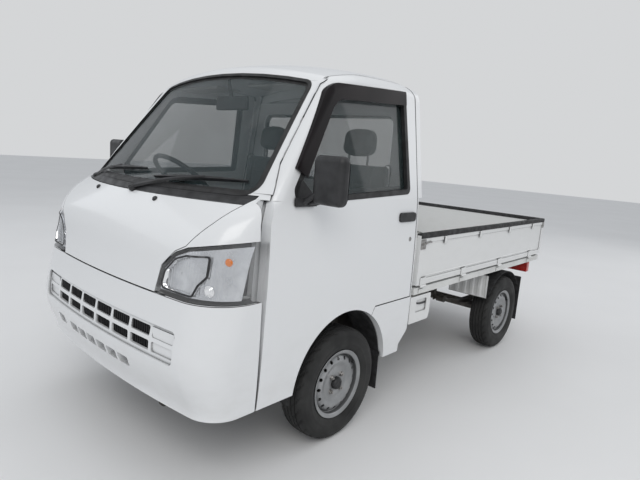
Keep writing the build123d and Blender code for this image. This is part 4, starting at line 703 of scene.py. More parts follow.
def tyre_loops(centre, side):
    """The tyre's section as loops, its tread cut by grooves round and across."""
    tread = []
    x = 0.0575
    while x > -0.0580:
        tread.append(x)
        x -= 0.0025
    section = [(a, r, 0) for a, r in TYRE_SIDE]
    for x in tread:
        crown = 0.2708 - 0.0075 * (abs(x) / 0.0575) ** 4
        deep = any(abs(x - g) < 0.0028 for g in GROOVES)
        section.append((x, crown - (0.0075 if deep else 0.0), 0 if deep else 1))
    section += [(-a, r, 0) for a, r in reversed(TYRE_SIDE)]
    loops = []
    for a, r, cut in section:
        loop = []
        for i in range(TYRE_STEPS):
            angle = 2 * math.pi * i / TYRE_STEPS
            radius = r
            if cut:
                shift = int(round(abs(a) * 120))
                if (i + shift) % 6 == 0:
                    radius -= 0.0065 if abs(a) > 0.036 else 0.004
            loop.append((centre[0] + side * a, centre[1] + radius * math.cos(angle),
                         centre[2] + radius * math.sin(angle)))
        loops.append(loop)
    return loops


RIM_PROFILE = (
    (-0.0605, 0.1655), (-0.0590, 0.1660), (-0.0560, 0.1655), (-0.0535, 0.1600), (-0.0520, 0.1530),
    (-0.0500, 0.1518), (-0.0260, 0.1510), (-0.0190, 0.1440), (-0.0150, 0.1400), (0.0150, 0.1400),
    (0.0210, 0.1450), (0.0270, 0.1510), (0.0500, 0.1518), (0.0520, 0.1530), (0.0535, 0.1600),
    (0.0560, 0.1655), (0.0590, 0.1660), (0.0605, 0.1655), (0.0612, 0.1635), (0.0600, 0.1600),
    (0.0570, 0.1540), (0.0555, 0.1490), (0.0530, 0.1465), (0.0420, 0.1460), (0.0350, 0.1445),
    (0.0330, 0.1420), (0.0345, 0.1395), (0.0430, 0.1300), (0.0490, 0.1190), (0.0515, 0.1100),
    (0.0505, 0.1040), (0.0465, 0.0960), (0.0425, 0.0880), (0.0405, 0.0800), (0.0405, 0.0660),
    (0.0425, 0.0620), (0.0430, 0.0580), (0.0415, 0.0440), (0.0410, 0.0300), (0.0365, 0.0300),
    (0.0365, 0.0800), (0.0385, 0.0900), (0.0425, 0.0980), (0.0462, 0.1060), (0.0470, 0.1110),
    (0.0445, 0.1180), (0.0390, 0.1280), (0.0290, 0.1400), (0.0260, 0.1450), (0.0200, 0.1350),
    (-0.0200, 0.1350), (-0.0290, 0.1460), (-0.0530, 0.1465), (-0.0560, 0.1540), (-0.0595, 0.1600),
)


def cut_holes(obj, centre, side, places):
    """Bores holes through the disc, given (y, z, radius) about the wheel's centre."""
    tools = []
    for i, (y, z, r) in enumerate(places):
        low = (centre[0] + side * 0.020, centre[1] + y, centre[2] + z)
        tools.append(disc(f"bore_{i}", low, (side, 0, 0), r, 0.050, 24, 0.0001))
    tool = joined("bores", tools)
    mod = obj.modifiers.new("bores", "BOOLEAN")
    mod.operation = "DIFFERENCE"
    mod.solver = "EXACT"
    mod.object = tool
    bpy.context.view_layer.update()
    bake(obj)
    bpy.data.objects.remove(tool)
    return obj


vents = []
for i in range(16):
    a = 2 * math.pi * i / 16
    vents.append((0.1235 * math.cos(a), 0.1235 * math.sin(a), 0.0085))
studs = []
for i in range(4):
    a = 2 * math.pi * (i + 0.5) / 4
    studs.append((0.050 * math.cos(a), 0.050 * math.sin(a)))
for side_name, side in SIDES:
    for axle, axle_y in AXLES:
        body = f"wheel_{axle}_{side_name}"
        centre = (side * WHEEL_X, axle_y, WHEEL_Z)
        tyre = rings(f"tyre_tread_{axle}_{side_name}", tyre_loops(centre, side))
        place(tyre, tyre_rubber, body, "tyre_rubber", 30)
        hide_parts(f"tyre_{axle}_{side_name}")
        rim = spin(f"wheel_disc_{axle}_{side_name}", RIM_PROFILE, 96, centre, side)
        rim = cut_holes(rim, centre, side, vents)
        place(rim, wheel_silver, body, "silver_paint", 32)
        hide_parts(f"rim_{axle}_{side_name}")
        cap_profile = ((0.036, 0.0005), (0.036, 0.0295), (0.052, 0.0295), (0.058, 0.0270), (0.0625, 0.0215),
                       (0.0640, 0.0150), (0.0620, 0.0135), (0.0622, 0.0005))
        cap = spin(f"hub_cap_{axle}_{side_name}", cap_profile, 40, centre, side, closed=False)
        place(cap, black_plastic, body, "black_plastic", 40)
        nuts = []
        for i, (y, z) in enumerate(studs):
            foot = (centre[0] + side * 0.0405, centre[1] + y, centre[2] + z)
            nuts.append(disc(f"nut_{i}", foot, (side, 0, 0), 0.0105, 0.0130, 6, 0.0012))
            nuts.append(disc(f"seat_{i}", foot, (side, 0, 0), 0.0125, 0.0035, 20, 0.0012))
            top = (foot[0] + side * 0.012, foot[1], foot[2])
            nuts.append(disc(f"stud_{i}", top, (side, 0, 0), 0.0055, 0.0065, 16, 0.0008))
        place(joined(f"wheel_nuts_{axle}_{side_name}", nuts), chrome, body, "silver_paint", 30)
        stem_y, stem_z = 0.136 * math.cos(0.6), 0.136 * math.sin(0.6)
        stem = tube(f"valve_{axle}_{side_name}", [
            (centre[0] + side * 0.036, centre[1] + stem_y, centre[2] + stem_z),
            (centre[0] + side * 0.050, centre[1] + stem_y * 0.99, centre[2] + stem_z * 0.99),
            (centre[0] + side * 0.060, centre[1] + stem_y * 0.965, centre[2] + stem_z * 0.965),
        ], 0.0035)
        place(stem, rubber, body, "black_rubber")

# Dark liners inside the front wheel arches
for side_name, side in SIDES:
    loops = []
    for x, r in ((0.545, 0.3235), (0.700, 0.3235), (0.700, 0.3255), (0.545, 0.3255), (0.545, 0.3235)):
        loop = []
        for i in range(61):
            a = math.radians(-8 + 196 * i / 60)
            loop.append((side * x, AXLES[0][1] + r * math.cos(a), 0.307 + r * math.sin(a)))
        loops.append(loop)
    place(rings(f"arch_liner_{side_name}", loops, closed=False), rubber, "chassis", "black_rubber", 60)

# Headlamps: a lens shell over a housing, a reflector chamber, an amber bulb and a ribbed small lamp


def profile_y(z):
    """How far back the nose's surface lies on its middle line, by height."""
    rows = ((0.325, 0.078), (0.460, 0.020), (0.621, 0.009), (0.782, 0.052), (0.9545, 0.080), (1.0695, 0.135),
            (1.150, 0.208))
    for (z0, s0), (z1, s1) in zip(rows, rows[1:]):
        if z <= z1:
            return FRONT_Y + HALF_WIDTH * (s0 + (s1 - s0) * (z - z0) / (z1 - z0))
    return FRONT_Y + HALF_WIDTH * rows[-1][1]


lamp_tree = tree_of("headlamps")
LAMP_CHROME = rounded(
    [(0.446, 0.803), (0.460, 0.866), (0.512, 0.920), (0.562, 0.938), (0.652, 0.946), (0.654, 0.876),
     (0.628, 0.842), (0.612, 0.800)],
    [0.016, 0.040, 0.040, 0.012, 0.008, 0.014, 0.014, 0.010],
)
LAMP_TOP = ((0.418, 0.790), (0.441, 0.876), (0.500, 0.934), (0.560, 0.958), (0.787, 1.005))


def on_lamp(p, lift, side):
    """A point of a flat outline laid on the lamp's outer surface, sunk by lift."""
    y = surface_hit(lamp_tree, side * p[0], p[1])
    if y is None:
        y = profile_y(p[1]) + (p[0] - 0.40) ** 2
    return (side * p[0], y - lift, p[1])


def shrunk(outline, centre, share):
    return [(centre[0] + (x - centre[0]) * share, centre[1] + (z - centre[1]) * share) for x, z in outline]


def lamp_top(x):
    for (x0, z0), (x1, z1) in zip(LAMP_TOP, LAMP_TOP[1:]):
        if x <= x1:
            return z0 + (z1 - z0) * (x - x0) / (x1 - x0)
    return LAMP_TOP[-1][1]


for side_name, side in SIDES:
    outline = resampled(LAMP_CHROME, 0.010)
    loops = []
    for share, sink in ((1.02, 0.0010), (1.0, 0.0016), (0.975, 0.007), (0.90, 0.018), (0.78, 0.026), (0.62, 0.031),
                        (0.44, 0.034), (0.26, 0.0355), (0.10, 0.036)):
        loop = []
        for p in shrunk(outline, (0.548, 0.866), share):
            wave = 0.0022 * math.cos(2 * math.pi * (p[1] - 0.866) / 0.050) if share < 0.95 else 0.0
            loop.append(on_lamp(p, -sink - wave, side))
        loops.append(loop)
    bowl = rings(f"lamp_reflector_{side_name}", loops)
    place(bowl, reflector, "chassis", "lamp_lens", 60)
    rim = band(f"lamp_surround_{side_name}", LAMP_CHROME, 0.0042, -0.0026, (-0.001, 0.0010),
               lambda p, lift, side=side: on_lamp(p, lift, side))
    place(rim, black_plastic, "chassis", "black_plastic")
    back = []
    for i in range(75):
        x = 0.430 + 0.298 * i / 74
        low_z, high_z = 0.790, lamp_top(x) - 0.006
        flute = 0.0016 * math.cos(2 * math.pi * x / 0.0125)
        column = []
        for k in range(15):
            z = low_z + (high_z - low_z) * k / 14
            column.append(on_lamp((x, z), -0.0135 - flute, side))
        back.append(column)
    place(rings(f"lamp_backing_{side_name}", back, closed=False), lamp_backing, "chassis", "lamp_lens", 60)
    bulb_y = on_lamp((0.540, 0.868), 0.0, side)[1]
    bulb = disc(f"main_bulb_{side_name}", (side * 0.540, bulb_y + 0.036, 0.868), (0, -1, 0), 0.0120, 0.022, 24,
                0.006)
    place(bulb, chrome, "chassis", "lamp_lens", 50)
    amber_y = on_lamp((0.698, 0.930), 0.0, side)[1]
    pod = disc(f"turn_bulb_{side_name}", (side * 0.692, amber_y + 0.012, 0.930), (side * 0.55, -0.83, 0), 0.0150,
               0.009, 28, 0.004)
    place(pod, amber, "chassis", "lamp_lens", 50)
    small = []
    small_y = on_lamp((0.660, 0.822), 0.0, side)[1]
    for r, lift in ((0.0225, 0.0), (0.0175, 0.0018), (0.0125, 0.0036)):
        small.append(disc("ring", (side * 0.656, small_y + 0.0125 - lift, 0.822), (side * 0.42, -0.9, 0), r, 0.003,
                          32, 0.001))
    place(joined(f"side_lamp_{side_name}", small), reflector, "chassis", "lamp_lens", 30)

# Points laid on the front of the cab
front_tree = tree_of("front_bumper", "front_panel", "cowl", "cab_side_left", "cab_side_right", "grille")


def on_nose(p, lift):
    """A point of an outline in X and Z laid on the front of the cab, raised by lift."""
    y = surface_hit(front_tree, p[0], p[1])
    if y is None:
        y = profile_y(p[1])
    return (p[0], y - lift, p[1])


# Grille: the plate behind the slots is dark
slot_back = []
for i in range(25):
    x = -0.560 + 1.120 * i / 24
    y = profile_y(0.60) + 0.0285 + x * x / (2 * 5.0)
    slot_back.append([(x, y, 0.536), (x, y, 0.656), (x, y + 0.002, 0.656), (x, y + 0.002, 0.536)])
place(rings("grille_backing", slot_back, cap=True), black_plastic, "chassis", "black_plastic")

# White blanks close the slots at both ends of the grille
grille_tree = tree_of("grille")
for side_name, side in SIDES:
    blanks = []
    for row_low, row_high in ((0.546, 0.590), (0.602, 0.646)):
        columns = []
        for i in range(11):
            x = side * (0.432 + 0.130 * i / 10)
            face = surface_hit(grille_tree, x, 0.596)
            y = (profile_y(0.60) + 0.012 + x * x / 10.0 if face is None else face) + 0.0045
            columns.append([(x, y, row_low), (x, y, row_high), (x, y + 0.0020, row_high), (x, y + 0.0020, row_low)])
        blanks.append(rings("blank", columns, cap=True))
    place(joined(f"grille_blanks_{side_name}", blanks), paint, "chassis", "white_paint", 40)

# Thin upright fins between the grille's bars
fins = []
for row_low, row_high in ((0.550, 0.587), (0.605, 0.642)):
    for i in range(57):
        x = -0.42 + 0.84 * i / 56
        y = profile_y(0.60) + 0.0145 + x * x / (2 * 5.0)
        fins.append(box_mesh(f"fin_{i}", (x - 0.0013, y, row_low), (x + 0.0013, y + 0.013, row_high), 0.0005, 1))
place(joined("grille_fins", fins), black_plastic, "chassis", "black_plastic")

# Washer nozzles on the cowl
nozzles = []
for side_name, side in SIDES:
    y = on_nose((side * 0.249, 1.108), 0.0)[1]
    nozzles.append(disc(f"nozzle_{side_name}", (side * 0.249, y + 0.004, 1.108), (0, -0.75, 0.66), 0.011, 0.011,
                        20, 0.004))
place(joined("washer_nozzles", nozzles), black_plastic, "chassis", "black_plastic")

# Wipers: pivots, flat arms and rubber blades on the windscreen


def screen_point(x, z, lift):
    y = glass_y(x, z)
    return Vector((x, y - lift * 0.74, z + lift * 0.67))


def wiper(name, pivot, tip, blade_a, blade_b):
    """One wiper: a cap on its spindle, a tapered arm, and a blade with its rubber."""
    foot = Vector(pivot)
    end = screen_point(*tip, 0.024)
    parts = [disc("cap", tuple(foot + Vector((0, 0.010, -0.016))), (0, -0.45, 0.9), 0.019, 0.026, 24, 0.005)]
    loops = []
    direction = (end - foot).normalized()
    across = direction.cross(Vector((0, -0.74, 0.67))).normalized()
    up = across.cross(direction).normalized()
    for i in range(13):
        t = i / 12
        p = foot.lerp(end, t) + up * (0.012 * math.sin(math.pi * t))
        half = 0.0105 - 0.0055 * t
        thick = 0.0050 - 0.0015 * t
        loops.append([p + across * half - up * thick, p + across * half * 0.6 + up * thick,
                      p - across * half * 0.6 + up * thick, p - across * half - up * thick])
    parts.append(rings("arm", loops, cap=True))
    frame_loops, rubber_loops = [], []
    for i in range(25):
        t = i / 24
        x = blade_a[0] + (blade_b[0] - blade_a[0]) * t
        z = blade_a[1] + (blade_b[1] - blade_a[1]) * t
        bow = 0.012 + 0.010 * (1 - (2 * t - 1) ** 2)
        a = screen_point(x, z, bow)
        along = Vector((blade_b[0] - blade_a[0], 0, blade_b[1] - blade_a[1])).normalized()
        normal = Vector((0, -0.74, 0.67))
        cross = along.cross(normal).normalized()
        w = 0.0065 * (0.35 + 0.65 * (1 - abs(2 * t - 1)))
        frame_loops.append([a + cross * w, a + cross * w + normal * 0.003, a - cross * w + normal * 0.003,
                            a - cross * w])
        b = screen_point(x, z, 0.0015)
        rubber_loops.append([b + cross * 0.001, b + normal * bow + cross * 0.003, b + normal * bow - cross * 0.003,
                             b - cross * 0.001])
    parts.append(rings("holder", frame_loops, cap=True))
    parts.append(rings("rubber", rubber_loops, cap=True))
    return place(joined(name, parts), black_plastic, "chassis", "black_plastic")


wipers = [
    wiper("wiper_right", (-0.500, -1.452, 1.148), (-0.150, 1.205), (-0.360, 1.186), (0.060, 1.214)),
    wiper("wiper_left", (0.070, -1.560, 1.146), (0.420, 1.200), (0.150, 1.186), (0.585, 1.206)),
]
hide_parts("wipers")

# Door furniture: handle, key cylinder and mirror glass
for side_name, side in SIDES:
    body = f"door_{side_name}"
    low, high = sided((0.7235, -0.478, 1.040), (0.7370, -0.372, 1.066), side)
    grip = box_mesh(f"handle_grip_{side_name}", low, high, 0.006, 4)
    place(grip, black_plastic, body, "black_plastic", 50)
    key = disc(f"key_cylinder_{side_name}", (side * 0.7305, -0.378, 0.938), (side, 0, 0), 0.012, 0.0045, 28, 0.0012)
    place(key, chrome, body, "silver_paint", 40)
    glass = rounded([(-0.066, -0.082), (0.066, -0.082), (0.066, 0.082), (-0.066, 0.082)], [0.020] * 4)
    centre = Vector((side * 0.838, -1.131, 1.238))
    loops = []
    for share, back in ((1.0, 0.0), (0.985, 0.0012), (0.55, 0.0030), (0.12, 0.0038)):
        loops.append([(centre.x + x * share, centre.y + back - 0.0005, centre.z + z * share) for x, z in glass])
    pane = rings(f"mirror_pane_{side_name}", loops, cap=True)
    place(pane, mirror_glass, body, "black_plastic", 60)

# Rubber channels over the top edges of the gates
RAIL_SECTION = ((1.35, 0.928), (1.35, 0.950), (1.15, 0.9545), (0.75, 0.9558), (-0.75, 0.9558), (-1.15, 0.9545),
                (-1.35, 0.950), (-1.35, 0.928), (-1.15, 0.928), (-1.15, 0.9438), (1.15, 0.9438), (1.15, 0.928))


def rail_channel(name, start, end, middle, across):
    loops = []
    for along in (start, start + 0.0006, end - 0.0006, end):
        pull = 0.0006 if along in (start, end) else 0.0
        loop = []
        for share, z in RAIL_SECTION:
            off = middle + share * (0.0117 - pull)
            point = (off, along, z - pull * 0.5) if across == "x" else (along, off, z - pull * 0.5)
            loop.append(point)
        loops.append(loop)
    return rings(name, loops, cap=True)


for side_name, side in SIDES:
    rail = rail_channel(f"rail_rubber_{side_name}", -0.250, 1.684, side * 0.7144, "x")
    place(rail, rubber, f"gate_{side_name}", "black_rubber", 40)
    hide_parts(f"gate_rail_{side_name}")
rail = rail_channel("rail_rubber_tailgate", -0.6935, 0.6935, 1.6744, "y")
place(rail, rubber, "tailgate", "black_rubber", 40)
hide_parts("tailgate_rail")

# Bed: creases, rope hooks, latches and hinge pins of the gates, deck ribs, tail lamps


def crease(name, start, end, across, outward, half, proud):
    """A long half-round pressed line with flattened ends."""
    start, end, across, outward = Vector(start), Vector(end), Vector(across), Vector(outward)
    loops = []
    count = 24
    for i in range(count + 1):
        t = i / count
        fade = min(1.0, min(t, 1 - t) * count / 1.5)
        loop = []
        for k in range(7):
            s = k / 6
            lift = proud * fade * math.sin(math.pi * s) - 0.0004
            loop.append(start.lerp(end, t) + across * ((s - 0.5) * 2 * half) + outward * lift)
        loops.append(loop)
    return rings(name, loops, closed=False)


def hook(name, centre, along, outward):
    """A rope hook pressed from plate: it leaves the gate below the rail and ends free."""
    centre, along, outward = Vector(centre), Vector(along), Vector(outward)
    outline = [(0.0, 0.0), (0.0066, -0.0015), (0.0082, -0.006), (0.0082, -0.034), (0.0066, -0.042), (0.0030, -0.044),
               (0.0030, -0.0415), (0.0052, -0.040), (0.0062, -0.034), (0.0062, -0.009), (0.0048, -0.0045),
               (0.0, -0.0035)]
    loops = []
    for step, inset in ((-0.015, 0.0006), (-0.0144, 0.0), (0.0144, 0.0), (0.015, 0.0006)):
        loop = []
        for p, z in outline:
            lift = max(p - inset, 0.0)
            loop.append(centre + along * step + outward * lift + Vector((0, 0, z)))
        loops.append(loop)
    return rings(name, loops, cap=True)


for side_name, side in SIDES:
    body = f"gate_{side_name}"
    out = (side, 0, 0)
    field, face = side * 0.722, side * 0.727
    lines = [
        crease("foot", (field, -0.205, 0.7125), (field, 1.640, 0.7125), (0, 0, 1), out, 0.0042, 0.0030),
        crease("head", (field, -0.205, 0.8960), (field, 1.640, 0.8960), (0, 0, 1), out, 0.0036, 0.0022),
        crease("low", (face, -0.245, 0.6900), (face, 1.680, 0.6900), (0, 0, 1), out, 0.0030, 0.0020),
    ]
    place(joined(f"gate_creases_{side_name}", lines), bed_paint, body, "white_paint", 60)
    hooks = [hook("hook", (face, y, 0.9275), (0, 1, 0), out) for y in (0.021, 0.488, 0.971, 1.430)]
    place(joined(f"rope_hooks_{side_name}", hooks), bed_paint, body, "white_paint", 50)
    pins = []
    for y in (-0.190, 0.301, 0.857, 1.444):
        for end in (-1, 1):
            pins.append(disc("pin", (side * 0.7315, y + end * 0.0308, 0.658), (0, end, 0), 0.0042, 0.0022, 16, 0.0008))
    place(joined(f"gate_pins_{side_name}", pins), chrome, body, "bare_steel", 40)
    parts = []
    low, high = sided((0.7262, -0.248, 0.868), (0.7305, -0.198, 0.922), side)
    parts.append(box_mesh("plate", low, high, 0.0014, 2))
    parts.append(disc("pivot", (side * 0.7295, -0.226, 0.896), out, 0.0085, 0.0060, 24, 0.0014))
    parts.append(tube("lever", [(side * 0.7345, -0.226, 0.896), (side * 0.7355, -0.205, 0.899),
                                (side * 0.7355, -0.176, 0.904), (side * 0.7335, -0.150, 0.905)], 0.0034))
    parts.append(disc("knob", (side * 0.7300, -0.149, 0.905), out, 0.0058, 0.0062, 20, 0.0016))
    low, high = sided((0.7262, 1.648, 0.880), (0.7300, 1.684, 0.928), side)
    parts.append(box_mesh("plate", low, high, 0.0014, 2))
    parts.append(disc("pivot", (side * 0.7290, 1.666, 0.904), out, 0.0080, 0.0060, 24, 0.0014))
    place(joined(f"gate_latches_{side_name}", parts), chrome, body, "bare_steel", 40)

lines = [
    crease("foot", (-0.650, 1.682, 0.7125), (0.650, 1.682, 0.7125), (0, 0, 1), (0, 1, 0), 0.0042, 0.0030),
    crease("head", (-0.650, 1.682, 0.8960), (0.650, 1.682, 0.8960), (0, 0, 1), (0, 1, 0), 0.0036, 0.0022),
]
place(joined("tailgate_creases", lines), bed_paint, "tailgate", "white_paint", 60)
parts = []
for side_name, side in SIDES:
    low, high = sided((0.654, 1.6862, 0.872), (0.690, 1.6905, 0.926), side)
    parts.append(box_mesh("plate", low, high, 0.0014, 2))
    parts.append(disc("pivot", (side * 0.672, 1.6892, 0.898), (0, 1, 0), 0.0080, 0.0050, 24, 0.0014))
    parts.append(tube("lever", [(side * 0.672, 1.6925, 0.898), (side * 0.650, 1.6935, 0.901),
                                (side * 0.612, 1.6935, 0.905)], 0.0034))
place(joined("tailgate_latches", parts), chrome, "tailgate", "bare_steel", 40)

deck_ribs = []
for i in range(15):
    x = -0.630 + 1.260 * i / 14
    loops = []
    for y, lift in ((-0.230, 0.0), (-0.205, 0.0036), (1.612, 0.0036), (1.637, 0.0)):
        loops.append([(x + w, y, 0.6598 + lift * s) for w, s in
                      ((-0.022, 0), (-0.017, 0.75), (-0.011, 1), (0.011, 1), (0.017, 0.75), (0.022, 0))])
    deck_ribs.append(rings("rib", loops, closed=False))
place(joined("deck_ribs", deck_ribs), deck_paint, "chassis", "white_paint", 50)

for side_name, side in SIDES:
    for name, x0, x1, mat in (("stop", 0.566, 0.664, red_lens), ("turn", 0.508, 0.564, amber),
                              ("reverse", 0.446, 0.506, reflector)):
        parts = []
        low, high = sided((x0, 1.6500, 0.506), (x1, 1.6590, 0.579), side)
        parts.append(box_mesh("lens", low, high, 0.004, 3))
        for i in range(int((x1 - x0 - 0.006) / 0.008)):
            x = x0 + 0.005 + 0.008 * i
            low, high = sided((x, 1.6585, 0.512), (x + 0.003, 1.6602, 0.573), side)
            parts.append(box_mesh("rib", low, high, 0.0007, 1))
        place(joined(f"tail_{name}_{side_name}", parts), mat, "chassis", "red_lens", 40)

# Below the bed: fluted splash plates and rod hooks in the filler panels

for side_name, side in SIDES:
    loops = []
    for i in range(97):
        x = 0.428 + 0.286 * i / 96
        wave = 0.0055 * (1 + max(-1.0, min(1.0, 2.6 * math.cos(2 * math.pi * (x - 0.428) / 0.0572)))) / 2
        loops.append([(side * x, y, z) for y, z in
                      ((0.7436, 0.428), (0.7422, 0.428), (0.7418 - wave, 0.446), (0.7418 - wave, 0.568),
                       (0.7422, 0.588), (0.7436, 0.588))])
    place(rings(f"splash_plate_{side_name}", loops, cap=True), bed_paint, "chassis", "white_paint", 50)
    path = [(0.7078, -0.196, 0.556), (0.7124, -0.193, 0.554), (0.7130, -0.176, 0.550), (0.7130, -0.140, 0.548),
            (0.7130, -0.112, 0.549), (0.7124, -0.108, 0.549), (0.7078, -0.106, 0.549)]
    place(tube(f"filler_rod_{side_name}", [(side * x, y, z) for x, y, z in path], 0.0038), black_plastic, "chassis",
          "frame_paint")

# Padded seats swollen by a cloth simulation, with seams and piping

CUSHION = [(y / 1000, z / 1000) for y, z in
           ((-905.0, 700.0), (-895.0, 772.0), (-470.0, 752.0), (-420.0, 668.0), (-870.0, 668.0))]
BACK = [(y / 1000, z / 1000) for y, z in
        ((-500.0, 756.0), (-415.0, 1306.0), (-345.0, 1312.0), (-345.0, 1240.0), (-400.0, 756.0))]
REST = [(y / 1000, z / 1000) for y, z in
        ((-418.0, 1338.0), (-402.0, 1490.0), (-336.0, 1496.0), (-342.0, 1338.0))]


def padded_piece(name, points, radii, centre_x, width, inset, cap, voxel):
    """A soft piece made from its CAD outline, swollen by cloth pressure and kept near its solid."""
    outline = grown(resampled(rounded(points, radii), 0.012), -inset)
    x0, x1 = centre_x - width / 2 + inset, centre_x + width / 2 - inset
    loops = []
    middle_z = (min(z for _, z in outline) + max(z for _, z in outline)) / 2
    table = ((0.0, 0.014, 1.0), (0.005, 0.006, 1.0), (0.014, 0.0, 1.0))
    if width < 0.3:
        table = ((0.018, 0.012, 0.42), (0.024, 0.005, 0.62), (0.036, 0.0, 0.82), (0.056, 0.0, 0.95), (0.080, 0.0, 1.0))
    steps = [(x0 + off, pull, share) for off, pull, share in table]
    steps += [(x1 - off, pull, share) for off, pull, share in reversed(table)]
    for x, pull, share in steps:
        shape = grown(outline, -pull) if pull else outline
        loops.append([(x, y, middle_z + (z - middle_z) * share) for y, z in shape])
    obj = rings(name, loops, cap=True)
    remesh = obj.modifiers.new("remesh", "REMESH")
    remesh.mode = "VOXEL"
    remesh.voxel_size = voxel
    bake(obj)
    before = [v.co.copy() for v in obj.data.vertices]
    cloth_mod = obj.modifiers.new("cloth", "CLOTH")
    settings = cloth_mod.settings
    settings.use_pressure = True
    settings.uniform_pressure_force = 4.0
    settings.effector_weights.gravity = 0.0
    settings.tension_stiffness = 15.0
    settings.compression_stiffness = 15.0
    settings.bending_stiffness = 0.5
    for number in range(1, 21):
        scene.frame_set(number)
    bake(obj)
    for vert, old in zip(obj.data.vertices, before):
        move = vert.co - old
        if move.length > cap:
            vert.co = old + move.normalized() * cap
    scene.frame_set(1)
    smooth = obj.modifiers.new("smooth", "SUBSURF")
    smooth.levels = 1
    smooth.render_levels = 1
    return bake(obj)


def channels(obj, centre_x, bolster, cross, axis, depth=0.004, width=0.006):
    """Sewn channels: two along the bolsters and several across between them."""
    mesh = obj.data
    pushes = []
    for vert in mesh.vertices:
        facing = max(vert.normal.z, 0.0) if axis == 1 else max(-vert.normal.y, 0.0)
        if facing < 0.4:
            continue
        off = abs(abs(vert.co.x - centre_x) - bolster)
        share = math.exp(-(off / width) ** 2)
        if abs(vert.co.x - centre_x) < bolster:
            for place_at in cross:
                share = max(share, math.exp(-((vert.co[axis] - place_at) / width) ** 2))
        pushes.append((vert.index, vert.normal * (-depth * share * facing)))
    for index, push in pushes:
        mesh.vertices[index].co += push
    mesh.update()


posts = []
piping = []
first = True
for side_name, side in SIDES:
    x = side * 0.352
    table = (
        ("seat_cushion", CUSHION, [0.024, 0.034, 0.014, 0.012, 0.024], 0.450, 0.007, 0.008, 0.010),
        ("seat_back", BACK, [0.020, 0.032, 0.030, 0.030, 0.020], 0.430, 0.007, 0.008, 0.010),
        ("headrest", REST, [0.024] * 4, 0.250, 0.005, 0.005, 0.008),
    )
    for name, points, radii, width, inset, cap, voxel in table:
        piece = padded_piece(f"{name}_{side_name}", points, radii, x, width, inset, cap, voxel)
        if name == "seat_cushion":
            channels(piece, x, 0.135, (-0.790, -0.690, -0.590), 1)
        if name == "seat_back":
            channels(piece, x, 0.128, (0.880, 0.985, 1.090, 1.195), 2)
        place(piece, cloth if name != "headrest" else vinyl, "chassis", "seat_fabric", 70)
        if first:
            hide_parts("seats")
            first = False
        if name != "headrest":
            line = grown(resampled(rounded(points, radii), 0.012), -0.0050)
            for edge in (x - width / 2 + 0.013, x + width / 2 - 0.013):
                loop = [(edge, y, z) for y, z in line]
                piping.append(tube("pipe", loop + loop[:1], 0.0026, 8))
    for dx in (-0.065, 0.065):
        posts.append(tube("post", [(x + dx, -0.380, 1.290), (x + dx, -0.380, 1.350)], 0.006))
place(joined("headrest_posts", posts), chrome, "chassis", "bare_steel")
place(joined("seat_piping", piping), vinyl, "chassis", "seat_fabric")

# Steering wheel: a moulded grip ring, three spokes and a padded boss
TILT = math.radians(40)
WHEEL_NORMAL = Vector((0, math.sin(TILT), math.cos(TILT)))
WHEEL_CENTRE = Vector((-0.355, -1.035, 1.150))
WHEEL_RIGHT = Vector((1, 0, 0))
WHEEL_UP = WHEEL_RIGHT.cross(WHEEL_NORMAL)


def wheel_point(r, angle, lift):
    across = WHEEL_RIGHT * math.cos(angle) + WHEEL_UP * math.sin(angle)
    return WHEEL_CENTRE + across * r + WHEEL_NORMAL * lift


loops = []
for i in range(97):
    a = 2 * math.pi * i / 96
    loop = []
    for k in range(16):
        b = 2 * math.pi * k / 16
        grip = 0.0124 + (0.0006 * math.cos(24 * a) if math.cos(b) < -0.2 else 0.0)
        loop.append(wheel_point(0.178 + grip * math.cos(b), a, grip * math.sin(b)))
    loops.append(loop)
parts = [rings("ring", loops)]
for base in (0.0, math.pi, 1.5 * math.pi):
    loops = []
    for i in range(9):
        t = i / 8
        r = 0.030 + 0.142 * t
        lift = -0.022 + 0.020 * t * t
        half = (0.022 - 0.006 * math.sin(math.pi * t)) / max(r, 0.06)
        loops.append([wheel_point(r, base - half, lift - 0.005), wheel_point(r, base - half * 0.8, lift + 0.004),
                      wheel_point(r, base + half * 0.8, lift + 0.004), wheel_point(r, base + half, lift - 0.005)])
    parts.append(rings("spoke", loops, cap=True))
boss = []
for r, lift in ((0.0005, -0.048), (0.040, -0.048), (0.046, -0.040), (0.047, -0.020), (0.044, -0.012),
                (0.030, -0.008), (0.0005, -0.006)):
    boss.append([wheel_point(r, 2 * math.pi * k / 40, lift) for k in range(40)])
parts.append(rings("boss", boss))
grip_ring = place(joined("steering_wheel_grip", parts), black_plastic, "steering", "black_plastic", 45)
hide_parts("steering_wheel")

# Dashboard: instrument hood with its gauges, vents, radio, glove box lid


def dash_y(z):
    return -1.200 - (1.050 - z) * 0.125


